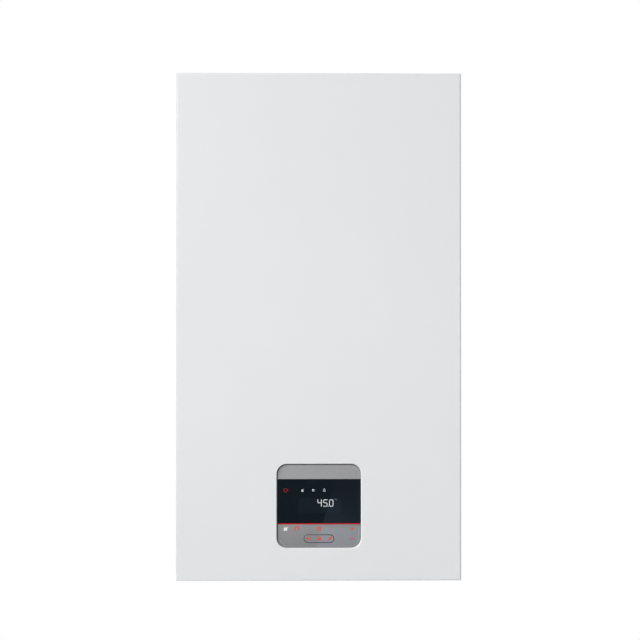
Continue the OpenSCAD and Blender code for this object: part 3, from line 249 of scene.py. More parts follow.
def drawn_copper():
    """Copper tube, dulled in patches."""
    g = Graph("copper_tube")
    patches = g.spread(g.noise(24.0, 5.0), 0.0, 1.0, 0.42, 0.68)
    lines = g.noise(160.0, 3.0, g.stretched((8.0, 8.0, 1.0)))
    return g.finish({
        "Base Color": g.mix(patches, rgb(214, 138, 104), rgb(158, 92, 66)),
        "Metallic": 1.0,
        "Roughness": g.math("ADD", g.spread(patches, 0.22, 0.42, 0.0, 1.0), g.spread(lines, 0.0, 0.05)),
        "Normal": g.relief(lines, 0.00002, 0.0003),
    })


def turned_brass():
    """Brass with fine turning marks, slightly browned."""
    g = Graph("turned_brass")
    marks = g.noise(300.0, 2.0, g.stretched((1.0, 1.0, 9.0)))
    brown = g.spread(g.noise(40.0, 4.0), 0.0, 0.6, 0.5, 0.75)
    return g.finish({
        "Base Color": g.mix(brown, rgb(214, 182, 112), rgb(160, 122, 66)),
        "Metallic": 1.0,
        "Roughness": g.spread(marks, 0.22, 0.36),
        "Normal": g.relief(marks, 0.00003, 0.0004),
    })


def enamel():
    """Red stove enamel of the expansion vessel."""
    g = Graph("red_enamel")
    return g.finish({
        "Base Color": mottled(g, rgb(156, 30, 26), 0.06, 9.0),
        "Roughness": g.spread(g.noise(50.0), 0.24, 0.34),
        "Normal": g.relief(g.noise(260.0, 2.0), 0.00004, 0.001),
        "Coat Weight": 0.4,
        "Coat Roughness": 0.12,
    })


def circuit_board():
    """Green solder mask over copper tracks, with tinned pads."""
    g = Graph("circuit_board")
    tracks = g.add("TexBrick", {
        "Vector": g.place, "Scale": 140.0, "Mortar Size": 0.035,
        "Color1": rgb(22, 104, 60), "Color2": rgb(14, 84, 48), "Mortar": rgb(38, 138, 84),
    }).outputs["Color"]
    pads = g.spread(g.cells(230.0)[0], 1.0, 0.0, 0.10, 0.16)
    return g.finish({
        "Base Color": g.mix(pads, tracks, rgb(196, 198, 196)),
        "Metallic": g.math("MULTIPLY", pads, 0.9),
        "Roughness": g.spread(g.noise(90.0), 0.28, 0.4),
        "Normal": g.relief(pads, 0.00006, 0.0002),
    })


def silver(name, colour, painted_shade_right, foot=1.0):
    """Satin silver plastic under a clear film: fine flakes, a painted shade that darkens it from left to
    right, and a painted shade that darkens its lowest 30 mm by the factor foot."""
    g = Graph(name)
    flake = g.noise(3200.0, 1.0)
    half, foot_top = PANEL_SIDE / 2 * MM, PANEL_LOW.z + 30 * MM
    across = g.spread(g.axis("X"), 0.0, 1.0, -half, half)
    rise = g.spread(g.axis("Z"), 0.0, 1.0, PANEL_LOW.z, foot_top)
    # Painted shade: darker towards the right, and darker over the lowest 30 mm.
    painted_foot_shade = g.mix(across, shade(colour, foot), shade(painted_shade_right, foot))
    base = g.mix(rise, painted_foot_shade, g.mix(across, colour, painted_shade_right))
    return g.finish({
        "Base Color": g.mix(g.spread(flake, 0.0, 0.16), base, shade(neutral(colour), 1.25)),
        "Metallic": 0.2,
        "Roughness": g.spread(flake, 0.46, 0.56),
        "Normal": g.add("Bevel", {"Radius": 0.0003}, samples=4).outputs[0],
        "Coat Weight": 1.0,
        "Coat Roughness": 0.02,
    })


def black_glass(name, colour):
    """Dark glossy front, with the faintest waviness."""
    g = Graph(name)
    return g.finish({
        "Base Color": mottled(g, colour, 0.05, 40.0),
        "Roughness": g.spread(g.noise(70.0), 0.01, 0.02),
        "Normal": g.relief(g.noise(18.0, 1.0), 0.000001, 0.0003),
    })


def clear_window():
    """Clear plastic window of the pressure gauge."""
    g = Graph("clear_window")
    return g.finish({
        "Base Color": (1.0, 1.0, 1.0, 1.0),
        "Roughness": g.spread(g.noise(80.0), 0.01, 0.03),
        "Transmission Weight": 1.0,
        "IOR": 1.1,
    })


def ink(name, colour, roughness=0.4, gloss=0.3):
    """Printed or lit marks on the panel."""
    g = Graph(name)
    return g.finish({
        "Base Color": mottled(g, colour, 0.03, 300.0),
        "Roughness": g.spread(g.noise(400.0), roughness - 0.04, roughness + 0.04),
        "Specular IOR Level": gloss,
    })


def fibre():
    """Woven fibre cord."""
    g = Graph("fibre_cord")
    weave = g.add("TexWave", {"Vector": g.place, "Scale": 260.0, "Distortion": 3.0}).outputs[1]
    return g.finish({
        "Base Color": mottled(g, rgb(196, 190, 178), 0.1, 60.0),
        "Roughness": g.spread(g.noise(50.0), 0.82, 0.95),
        "Normal": g.relief(weave, 0.0004, 0.0005),
        "Sheen Weight": 0.3,
    })


def foam():
    """Closed cell foam."""
    g = Graph("seal_foam")
    return g.finish({
        "Base Color": mottled(g, rgb(66, 66, 68), 0.12, 80.0),
        "Roughness": g.spread(g.noise(60.0), 0.85, 0.95),
        "Normal": g.relief(g.cells(700.0)[0], 0.0004, 0.0006),
    })


WHITE = powder_coat()
ZINC = zinc()
FLUE_BLACK = plastic("flue_plastic", rgb(52, 52, 54), 0.42, 500.0, 0.00004)
RUBBER = plastic("black_rubber", rgb(36, 36, 38), 0.72, 1400.0, 0.00008, 0.06, 0.0006)
RED_ENAMEL = enamel()
STEEL_SHELL = stainless("stainless_shell", 0.205, 0.218)
STEEL = stainless("stainless_plain", 0.5, 0.52)
STEEL_PLATES = stainless("stainless_plates", 0.5, 0.52, (1.0, 1.0, 25.0))
BURNER_STEEL = stainless("burner_steel", 0.11, 0.205)
ALLOY = cast_metal("cast_alloy", rgb(178, 180, 184))
PUMP_IRON = cast_metal("painted_iron", rgb(62, 64, 67), 0.0, 0.5)
COPPER = drawn_copper()
BRASS = turned_brass()
BLACK = plastic("black_plastic", rgb(42, 42, 45))
DARK = plastic("dark_grey_plastic", rgb(74, 76, 80))
GREY = plastic("grey_plastic", rgb(138, 141, 145))
RED = plastic("red_plastic", rgb(186, 30, 24), 0.36)
BLUE = plastic("blue_plastic", rgb(34, 88, 152), 0.36)
NATURAL = plastic("natural_plastic", rgb(222, 220, 210), 0.4)
BOARD = circuit_board()
CERAMIC = plastic("glazed_ceramic", rgb(236, 232, 222), 0.14, 200.0, 0.00002, 0.02, 0.0006)
FIBRE = fibre()
FOAM = foam()
GLASS = black_glass("panel_glass", (0.0042, 0.0080, 0.0125, 1.0))
DISPLAY = black_glass("display_glass_lit", (0.0068, 0.0130, 0.0175, 1.0))
WINDOW = clear_window()
# Both silvers darken to the right as painted shade; the lower band's factor 0.8 is painted shade at its
# foot.
SILVER_TOP = silver("silver_top", rgb(152, 152, 155), rgb(144, 144, 147))
SILVER_LOW = silver("silver_low", rgb(139, 139, 141), rgb(122, 122, 124), 0.8)
# A whiter copy of the white paint for the window's lip: a painted highlight.
LIP_HIGHLIGHT_WHITE = plastic("lip_painted_highlight", rgb(250, 250, 251), 0.36, 900.0, 0.000004, 0.004, 0.0003)
INK_WHITE = ink("ink_white", rgb(222, 224, 226))
INK_GREY = ink("ink_grey", rgb(104, 110, 116))
INK_BRIGHT = ink("ink_bright", rgb(246, 247, 248))
INK_RED = ink("ink_red", rgb(238, 40, 18), 0.4, 0.12)
INK_DARK_RED = ink("ink_dark_red", rgb(205, 14, 34), 0.4, 0.1)
LINE_RED = ink("line_red", rgb(206, 10, 28), 0.3, 0.1)
HAIR_LIGHT = ink("hairline_light", rgb(178, 178, 180))
HAIR_DARK = ink("hairline_dark", rgb(17, 24, 29), 0.2)
DIAL_WHITE = ink("dial_white", rgb(236, 236, 232), 0.5)
DIAL_BLACK = ink("dial_black", rgb(24, 24, 26), 0.5)
DIAL_GREEN = ink("dial_green", rgb(44, 132, 72), 0.5)

FINISHES = {
    WHITE: ["left_side_panel", "right_side_panel", "top_plate", "front_cover"],
    ZINC: ["back_frame", "wall_bracket", "base_plate", "control_box_hinges", "cover_screws"],
    FLUE_BLACK: ["flue_collar", "flue_pipe"],
    RUBBER: ["pipe_grommets", "flue_seals", "condensate_hose"],
    RED_ENAMEL: ["expansion_vessel"],
    STEEL_SHELL: ["heat_exchanger_shell"],
    STEEL: ["heat_exchanger_coil"],
    STEEL_PLATES: ["plate_heat_exchanger"],
    BURNER_STEEL: ["burner_tube"],
    ALLOY: ["burner_door", "gas_air_duct", "fan_housing", "gas_valve"],
    PUMP_IRON: ["pump_body"],
    COPPER: ["vessel_pipe", "gas_pipe", "flow_pipe", "return_pipe", "water_pipes"],
    BRASS: ["burner_door_nuts", "air_vent", "diverter_plunger", "heating_tails", "safety_valve",
            "filling_tap"],
    BLACK: ["fan_motor", "venturi", "pump_motor", "diverter_valve", "pressure_gauge", "cable_gland",
            "control_box_tray", "control_box_lid"],
    DARK: ["trap_cup", "pump_impeller"],
    GREY: ["diverter_motor", "fan_impeller", "condensate_trap", "menu_key_stem"],
    RED: ["safety_valve_knob", "gauge_needle"],
    BLUE: ["filling_tap_knob"],
    BOARD: ["main_board"],
    CERAMIC: ["ignition_electrode"],
    FIBRE: ["door_seal"],
    FOAM: ["front_seal"],
    GLASS: ["display_glass"],
    DISPLAY: ["lcd_module"],
    SILVER_LOW: ["display_bezel", "menu_key_bar"],
}
for material, names in FINISHES.items():
    for name in names:
        NODES[name].data.materials.clear()
        NODES[name].data.materials.append(material)


def recolour(name, material, inside):
    """Gives the faces of a node whose centre passes the test another material."""
    mesh = NODES[name].data
    mesh.materials.append(material)
    index = len(mesh.materials) - 1
    for face in mesh.polygons:
        c = face.center
        if inside(c.x / MM, case_h(c.z), -c.y / MM):
            face.material_index = index


def span(name):
    """The corners of a node in case terms."""
    low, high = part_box(name)
    return (low.x / MM, case_h(low.z), -high.y / MM), (high.x / MM, case_h(high.z), -low.y / MM)


def recolour_parts():
    """The solids of a node that are made of another stuff, told by where their faces lie."""
    thread_top = 26.0
    recolour("gas_pipe", BRASS, lambda x, h, d: h < thread_top)
    recolour("water_pipes", BRASS, lambda x, h, d: h < thread_top)
    tube_h, tube_r, tap_back, tap_side = 68.0, 4.5, 177.9, -37.2
    recolour("filling_tap", COPPER,
             lambda x, h, d: abs(h - tube_h) < tube_r and (d < tap_back or x < tap_side))
    window_top, window_r, gauge_top = 26.6, 17.2, 43.6
    recolour("pressure_gauge", WINDOW,
             lambda x, h, d: h < window_top and math.hypot(x - GAUGE_X, d - GAUGE_D) < window_r)
    recolour("pressure_gauge", COPPER, lambda x, h, d: h > gauge_top)
    vessel_front, vessel_back, valve_foot = 60.2, 11.9, 600.0
    recolour("expansion_vessel", BRASS, lambda x, h, d: d > vessel_front and h > valve_foot)
    recolour("expansion_vessel", ZINC, lambda x, h, d: d < vessel_back)
    plates_back, diverter_back = 19.9, 65.9
    recolour("plate_heat_exchanger", ZINC, lambda x, h, d: d < plates_back)
    recolour("diverter_valve", ZINC, lambda x, h, d: d < diverter_back)
    (_, gas_low, _), (_, _, gas_front) = span("gas_valve")
    coil_back, coil_top = gas_front - 17.1, gas_low + 40
    recolour("gas_valve", BLACK, lambda x, h, d: d > coil_back and h < coil_top)
    plug_back, ceramic_back = 264.9, 210.9
    recolour("ignition_electrode", BLACK, lambda x, h, d: d > plug_back)
    recolour("ignition_electrode", STEEL, lambda x, h, d: d < ceramic_back)
    cap_foot, cap_side = 200.5, 102.0
    recolour("air_vent", BLACK, lambda x, h, d: h > cap_foot and x > cap_side)
    board_back, board_front = 261.9, 263.7
    relays_foot, sockets_top = 75.0, 72.0
    capacitors, capacitor_h, capacitor_r = (-50.0, -20.0, 12.0), 100.0, 8.2
    recolour("main_board", BLACK, lambda x, h, d: d < board_back and h > relays_foot)
    recolour("main_board", NATURAL, lambda x, h, d: d < board_back and h < sockets_top)
    recolour("main_board", BLUE,
             lambda x, h, d: d < board_back and abs(h - capacitor_h) < capacitor_r
             and min(abs(x - c) for c in capacitors) < capacitor_r)
    recolour("main_board", BLACK, lambda x, h, d: d > board_front)


recolour_parts()


# Meshes

def new_object(name, points, faces, material):
    """A mesh object in the shared frame."""
    mesh = bpy.data.meshes.new(name)
    mesh.from_pydata([tuple(p) for p in points], [], faces)
    mesh.validate()
    mesh.materials.append(material)
    piece = bpy.data.objects.new(name, mesh)
    bpy.context.scene.collection.objects.link(piece)
    return piece


def recalculated(piece):
    """Turns every face of a closed mesh outwards, and leaves its sharp edges sharp."""
    shape = bmesh.new()
    shape.from_mesh(piece.data)
    bmesh.ops.remove_doubles(shape, verts=shape.verts, dist=1e-7)
    bmesh.ops.recalc_face_normals(shape, faces=shape.faces)
    for edge in shape.edges:
        edge.smooth = len(edge.link_faces) == 2 and edge.calc_face_angle() < math.radians(32)
    shape.to_mesh(piece.data)
    shape.free()
    return piece


def placed(piece, body):
    """Lets a piece ride on a body."""
    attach(piece, body)
    return piece


def arc(cx, cz, r, start, end, steps=20):
    """Points along an arc, in degrees."""
    angles = [math.radians(start + (end - start) * i / steps) for i in range(steps + 1)]
    return [(cx + r * math.cos(a), cz + r * math.sin(a)) for a in angles]


def circle(cx, cz, r, steps=24):
    """Points round a circle."""
    return arc(cx, cz, r, 0, 360, steps)[:-1]


def rounded_rect(x, z, radii, inset=0.0, steps=8):
    """The outline of a rectangle over two spans, with the corner radii bottom left, bottom right,
    top right and top left, moved inwards by an inset."""
    low = (x[0] + inset, z[0] + inset)
    high = (x[1] - inset, z[1] - inset)
    corners = [(low[0], low[1], 1, 1, 180), (high[0], low[1], -1, 1, 270),
               (high[0], high[1], -1, -1, 0), (low[0], high[1], 1, -1, 90)]
    points = []
    for (cx, cz, sx, sz, start), radius in zip(corners, radii):
        r = max(radius - inset, 0.02)
        for i in range(steps + 1):
            a = math.radians(start + 90 * i / steps)
            points.append((cx + sx * r + r * math.cos(a), cz + sz * r + r * math.sin(a)))
    return points


def skin(name, strips, flats, material):
    """A closed mesh from strips, each a row of loops with the same number of points, and from flats,
    each an outline with its holes."""
    points, faces = [], []
    for loops in strips:
        count = len(loops[0])
        for a, b in zip(loops, loops[1:]):
            start = len(points)
            points.extend(list(a) + list(b))
            for i in range(count):
                j = (i + 1) % count
                faces.append((start + i, start + j, start + count + j, start + count + i))
    strip_count = len(faces)
    for loops in flats:
        start = len(points)
        points.extend(p for loop in loops for p in loop)
        for triangle in tessellate_polygon([[Vector(p) for p in loop] for loop in loops]):
            faces.append(tuple(start + i for i in triangle))
    piece = new_object(name, points, faces, material)
    for face in piece.data.polygons[:strip_count]:
        face.use_smooth = True
    return recalculated(piece)


def loft(name, rings, material, closed=False):
    """A closed mesh through rings of points: each ring holds an outline and its holes, all with the
    same number of points from ring to ring. The first and the last ring are filled, or joined."""
    strips = [list(loops) for loops in zip(*rings)]
    if closed:
        return skin(name, [loops + loops[:1] for loops in strips], [], material)
    return skin(name, strips, [rings[0], rings[-1]], material)


def rounding(start, radius, far, steps=5):
    """The insets and depths of a quarter round that ends in the depth far."""
    angles = [math.radians(90 * i / steps) for i in range(steps + 1)]
    return [(start + radius * (1 - math.cos(a)), far - radius + radius * math.sin(a)) for a in angles]


def plate(name, outline, holes, back, front, radius, material):
    """A plate that faces the front, whose front edges are rounded. outline and holes are functions
    that give their points for an inset; a hole grows where the plate's edge is rounded away."""
    def ring(inset, d):
        loops = [outline(inset)] + [hole(-inset) for hole in holes]
        return [[at(x, h, d) for x, h in loop] for loop in loops]

    rings = [ring(inset, d) for inset, d in [(0.0, back)] + rounding(0.0, radius, front, 4)]
    return loft(name, rings, material)


def joined(name, pieces):
    """Joins meshes into one piece."""
    target = pieces[0]
    if len(pieces) > 1:
        with bpy.context.temp_override(active_object=target, selected_editable_objects=pieces):
            bpy.ops.object.join()
    target.name = name
    target.data.name = name
    return target


# The front cover: one folded sheet whose window has a bevelled lip

SHEET = 1.2
EDGE_R = 2.6
LIP = [(0.0, 1.3), (0.1, 1.15), (1.35, 0.1), (1.6, 0.0)]
GAP_LEFT, GAP_TOP = 1.3, 1.2
LAP_RIGHT, LAP_LOW = 0.4, 1.0
CUP_X, CUP_INSET = 150.0, 18.0
COVER_BACK, COVER_FACE = -COVER_HIGH.y / MM, -COVER_LOW.y / MM
CASE_HALF, CASE_TOP = COVER_HIGH.x / MM, case_h(COVER_HIGH.z)


def cover_loop(inset, d):
    """The cover's outline, moved inwards by an inset."""
    x, low, high = CASE_HALF - inset, inset, CASE_TOP - inset
    return [at(-x, low, d), at(x, low, d), at(x, high, d), at(-x, high, d)]


def window_outline(grow):
    """The window's outline. A gap is left at the panel's left and top edges, where the lip is sharp
    and grows by a fifth as much. At the right and below, the lip lies over the panel's edge."""
    half, crisp = PANEL_SIDE / 2, 0.2
    x = (PANEL_X - half - GAP_LEFT - crisp * grow, PANEL_X + half - LAP_RIGHT + grow)
    h = (PANEL_H - half + LAP_LOW - grow, PANEL_H + half + GAP_TOP + crisp * grow)
    return rounded_rect(x, h, (PANEL_CORNER + 0.6 * grow,) * 4, 0.0, 10)


def window_loop(grow, d):
    """The window's outline at a depth."""
    return [at(x, h, d) for x, h in window_outline(grow)]


def cup_loop(x, r, h):
    """A circle of a screw cup in the cover's bottom fold."""
    d = COVER_FACE - CUP_INSET
    return [at(x + a, h, d + b) for a, b in circle(0, 0, r, 32)]


def build_cover():
    """The painted cover, over the solid that carries it. Its lip has a whiter paint as a painted highlight.
    """
    inner_face = COVER_FACE - SHEET
    cup_r, cup_h, cup_top, hole_r = 6.0, 2.4, 3.4, 2.4
    groove, groove_front, groove_start = 0.55, PANEL_FACE + 0.7, PANEL_FACE + 0.4
    frame_out, frame_back = LIP[-1][0] + 0.4, PANEL_FACE - 2.0
    outer = [cover_loop(inset, d) for inset, d in rounding(0.0, EDGE_R, COVER_FACE)]
    inner = [cover_loop(inset, d) for inset, d in rounding(SHEET, EDGE_R - SHEET, inner_face)]
    lip = [window_loop(grow, COVER_FACE - drop) for grow, drop in LIP]
    wall = [(0.0, COVER_FACE - LIP[0][1]), (0.0, groove_front), (groove, groove_start),
            (groove, frame_back), (frame_out, frame_back), (frame_out, inner_face)]
    strips = [outer, inner, lip, [window_loop(grow, d) for grow, d in wall],
              [cover_loop(0.0, COVER_BACK), cover_loop(SHEET, COVER_BACK)]]
    flats = [[outer[-1], lip[-1]], [inner[-1], window_loop(frame_out, inner_face)]]
    for inset, front, cut in ((0.0, outer[0], cup_r), (SHEET, inner[0], cup_r + SHEET)):
        back = cover_loop(inset, COVER_BACK)
        for i in range(4):
            j = (i + 1) % 4
            holes = [cup_loop(s * CUP_X, cut, inset) for s in (-1, 1)] if i == 0 else []
            flats.append([[back[i], back[j], front[j], front[i]]] + holes)
    rings = [(cup_r, 0.0), (cup_r, cup_h), (hole_r, cup_h), (hole_r, cup_top), (cup_r + SHEET, cup_top),
             (cup_r + SHEET, SHEET)]
    for s in (-1, 1):
        strips.append([cup_loop(s * CUP_X, r, h) for r, h in rings])
    cover = placed(skin("front_cover_sheet", strips, flats, WHITE), "cover")
    cover.data.materials.append(LIP_HIGHLIGHT_WHITE)
    # The slanting faces of the window's lip take the whiter paint, a painted highlight.
    lip_back, near_window = PANEL_FACE + 0.75, 80.0
    for face in cover.data.polygons:
        c = face.center
        if -c.y / MM > lip_back and 0.02 < -face.normal.y < 0.98 and abs(c.x) / MM < near_window:
            face.material_index = 1
    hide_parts("front_cover")


build_cover()


# Marks on the panel: each is a list of outlines about the case's middle and the height MARKS_H, which
# lies KEY_DROP above the menu key

MARK = 0.05


def filleted(path, radius, steps=5):
    """A path with its inner corners rounded."""
    points = [path[0]]
    for before, corner, after in zip(path, path[1:], path[2:]):
        p, a, b = Vector(corner), Vector(before), Vector(after)
        r = min(radius, (a - p).length * 0.49, (b - p).length * 0.49)
        start, end = p + (a - p).normalized() * r, p + (b - p).normalized() * r
        for i in range(steps + 1):
            t = i / steps
            points.append(tuple((1 - t) ** 2 * start + 2 * t * (1 - t) * p + t * t * end))
    points.append(path[-1])
    return points


def side_points(path, half, closed):
    """The path moved to one side by half."""
    count = len(path)
    moved = []
    for i in range(count):
        here = Vector(path[i])
        before = Vector(path[i - 1]) if closed or i else here
        after = Vector(path[(i + 1) % count]) if closed or i < count - 1 else here
        u = (here - before).normalized() if (here - before).length else (after - here).normalized()
        v = (after - here).normalized() if (after - here).length else u
        n = Vector((-u.y - v.y, u.x + v.x)).normalized()
        reach = half / max(0.5, n.dot(Vector((-v.y, v.x))))
        moved.append(tuple(here + n * reach))
    return moved


def ribbon(path, width, closed=False):
    """The outline of a line of some width; a closed one has a hole."""
    left = side_points(path, width / 2, closed)
    right = side_points(path, -width / 2, closed)
    if closed:
        return [left, right]
    return [left + right[::-1]]


def box_mark(cx, cz, w, h):
    """A filled rectangle."""
    return [[(cx - w / 2, cz - h / 2), (cx + w / 2, cz - h / 2), (cx + w / 2, cz + h / 2),
             (cx - w / 2, cz + h / 2)]]


def marks(name, shapes, front, body, slot, material, centre=(0.0, MARKS_H)):
    """Thin plates from outlines that are given about a centre."""
    pieces = []
    for i, loops in enumerate(shapes):
        rings = [[[at(centre[0] + x, centre[1] + z, d) for x, z in loop] for loop in loops]
                 for d in (front, front + MARK)]
        pieces.append(loft(f"{name}_{i}", rings, material))
    return placed(joined(name, pieces), body)


def plus_mark(cx, cz, size, width):
    """A filled cross."""
    half, w = size / 2, width / 2
    quarter = [(half, -w), (half, w), (w, w)]
    points = []
    for turn in range(4):
        a = math.radians(90 * turn)
        points += [(cx + x * math.cos(a) - z * math.sin(a), cz + x * math.sin(a) + z * math.cos(a))
                   for x, z in quarter]
    return [points]


def digit_shapes():
    """The reading on the display: 45.0."""
    low, middle, high, stroke = -2.0, 3.3, 7.9, 1.05
    half = stroke / 2
    top, bottom = high - half, low + half
    four = [ribbon(filleted([(-1.4, high), (-1.4, middle), (2.9, middle)], 1.6), stroke),
            ribbon([(3.5, high), (3.5, low)], stroke)]
    five = [ribbon(filleted([(11.8, top), (6.5, top), (6.5, middle), (11.4, middle), (11.4, bottom),
                             (6.2, bottom)], 1.5), stroke)]
    zero = [ribbon(rounded_rect((14.7, 19.6), (bottom, top), (1.7,) * 4, 0.0, 5), stroke, True)]
    return four + five + zero + [box_mark(13.1, low + 0.6, 0.9, 1.1)]


def status_shapes():
    """A radiator, a half filled circle and a flame, in the row above the display."""
    row = 20.6
    radiator = [box_mark(-22.7, row - 0.6, 2.6, 2.8), ribbon([(-21.3, row + 0.8), (-20.6, row + 1.5)], 0.4)]
    half_circle = [ribbon(circle(-7.5, row, 1.7), 0.2, True), [arc(-7.5, row, 1.5, 75, 255, 12)]]
    flame_path = [(7.7, row + 2.6), (8.9, row - 0.4), (8.5, row - 1.5), (7.5, row - 1.9),
                  (6.5, row - 1.5), (6.1, row - 0.4), (6.9, row + 0.8)]
    flame = [ribbon(flame_path, 0.55, True)]
    return radiator + half_circle + flame


def fault_shapes():
    """The reset ring: a loop that comes to a point below, with an arrow head at its open end."""
    x, z = -45.8, 20.3
    loop = filleted([(x + 0.6, z + 2.3), (x + 1.7, z + 2.5), (x + 3.0, z + 0.6), (x, z - 2.9),
                     (x - 3.0, z + 0.4), (x - 1.7, z + 2.4), (x - 0.6, z + 2.2)], 0.9)
    return [ribbon(loop, 0.55), [[(x - 0.7, z + 2.9), (x + 0.4, z + 2.2), (x - 0.7, z + 1.5)]]]


def touch_shapes():
    """Tap, timer, plus and minus on the lower band."""
    row, column = -32.6, 46.0
    tap = [ribbon([(-32.8, row - 3.2), (-32.8, row + 0.6)] + arc(-30.2, row + 0.6, 2.6, 180, 0, 12)
                  + [(-27.6, row - 1.2)], 1.2)]
    timer = [ribbon(circle(0.4, row, 2.5), 0.85, True),
             ribbon([(0.3, row - 0.1), (1.8, row + 1.4)], 0.7)]
    return tap + timer + [plus_mark(column, row, 4.0, 1.2), box_mark(column, -KEY_DROP, 4.0, 1.0)]


def radiator_shapes():
    """The white radiator on the lower band: fins with narrow gaps, and its valve tick."""
    x, row = -46.0, -32.9
    fins = [box_mark(x + (i - 1.5) * 1.2, row, 1.0, 4.4) for i in range(4)]
    return fins + [ribbon([(x + 2.4, row + 1.9), (x + 3.5, row + 2.9)], 0.8)]


def key_shapes():
    """Back, menu and confirm on the menu key."""
    back = [[[(-18.4, 0.0), (-16.0, 2.4), (-16.0, -2.4)]], box_mark(-14.3, 0.0, 3.2, 0.9)]
    menu = [box_mark(-0.3, z, 5.2, t) for z, t in ((2.1, 0.8), (0.6, 0.8), (-1.5, 1.8))]
    confirm = [ribbon([(12.6, 0.3), (14.3, -1.9), (17.4, 2.7)], 1.1)]
    return back + menu + confirm


def hairline_shapes(half, glass_low, glass_high):
    """The edge of the panel's clear film, just inside its outline: over the silver above the glass,
    over the glass, and over the silver below it. The heights are about the panel's centre."""
    inset, width, clear, below, corner = 3.2, 0.3, 0.9, 3.4, 10.8
    side = half - inset
    middle = side - corner
    over_glass = [ribbon([(s * side, glass_low + clear), (s * side, glass_high - clear)], width)
                  for s in (-1, 1)]
    top_corner = arc(middle, middle, corner, 0, 90, 8)
    upper = [(side, glass_high + clear)] + top_corner + [(-x, z) for x, z in top_corner[::-1]]
    upper.append((-side, glass_high + clear))
    low_corner = arc(middle, -middle, corner, 0, -90, 8)
    lower = [(side, glass_low - below)] + low_corner + [(-x, z) for x, z in low_corner[::-1]]
    lower.append((-side, glass_low - below))
    return [ribbon(upper, width), ribbon(lower, width)], over_glass


def growing(x, z, radii, steps=8):
    """A rounded rectangle as plate() takes it: a function that gives its points for an inset."""
    return lambda inset: rounded_rect(x, z, radii, inset, steps)


def build_panel():
    """The control panel's plates and the key's cap, which is trimmed to its outline in the photo."""
    half, seam, red_tall, gap = PANEL_SIDE / 2, 0.05, 1.4, 0.5
    tight, soft, crisp = 0.3, 0.45, 0.2
    low_r, top_r = (PANEL_CORNER, PANEL_CORNER, tight, tight), (tight, tight, PANEL_CORNER, PANEL_CORNER)
    x, low, high = (PANEL_X - half, PANEL_X + half), PANEL_H - half, PANEL_H + half
    red_top = case_h(GLASS_LOW.z) - seam
    red_low = red_top - red_tall
    trim_right, trim_low, trim_top = 0.8, 0.2, 1.0
    key_x = (KEY_LOW.x / MM, KEY_HIGH.x / MM - trim_right)
    key_z = (case_h(KEY_LOW.z) + trim_low, case_h(KEY_HIGH.z) - trim_top)
    key_r = (key_z[1] - key_z[0]) / 2
    slot_x, slot_z = (key_x[0] - gap, key_x[1] + gap), (key_z[0] - gap, key_z[1] + gap)
    slot = growing(slot_x, slot_z, (key_r + gap,) * 4, 12)
    whole = growing(x, (low, high), (PANEL_CORNER,) * 4)
    top = growing(x, (case_h(GLASS_HIGH.z) + 0.1, high), top_r)
    bottom = growing(x, (low, red_low - seam), low_r)
    red = growing((x[0] + crisp, x[1] - crisp), (red_low, red_top), (tight,) * 4, 3)
    surround = growing((x[0] - GAP_LEFT + crisp, x[1]), (low, high + GAP_TOP - crisp), (PANEL_CORNER,) * 4)
    step, surround_drop = GLASS_BACK - seam, 1.3
    plates = [
        plate("panel_base", whole, [slot], PANEL_BACK, step, 0.2, BLACK),
        plate("panel_top_band", top, [], step, PANEL_FACE, soft, SILVER_TOP),
        plate("panel_lower_band", bottom, [slot], step, PANEL_FACE, soft, SILVER_LOW),
        plate("panel_red_line", red, [], step, PANEL_FACE - 0.1, 0.2, LINE_RED),
        plate("panel_surround", surround, [slot], PANEL_BACK, PANEL_FACE - surround_drop, 0.1, BLACK),
    ]
    for piece in plates:
        placed(piece, "control_box")
        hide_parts("display_bezel")
    cap_back, hub_front, hub_w, hub_h = PANEL_FACE - 2.6, PANEL_FACE - 2.5, 2.1, 1.9
    bar = plate("menu_key_cap", growing(key_x, key_z, (key_r,) * 4, 12), [], cap_back, KEY_FACE, soft,
                SILVER_LOW)
    core = growing((KEY_X - hub_w, KEY_X + hub_w), (KEY_H - hub_h, KEY_H + hub_h), (0.4,) * 4, 3)
    hub = plate("menu_key_hub", core, [], -KEY_HIGH.y / MM, hub_front, 0.05, SILVER_LOW)
    cap = placed(joined("menu_key_cap", [bar, hub]), "key_bar")
    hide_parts("menu_key_bar")


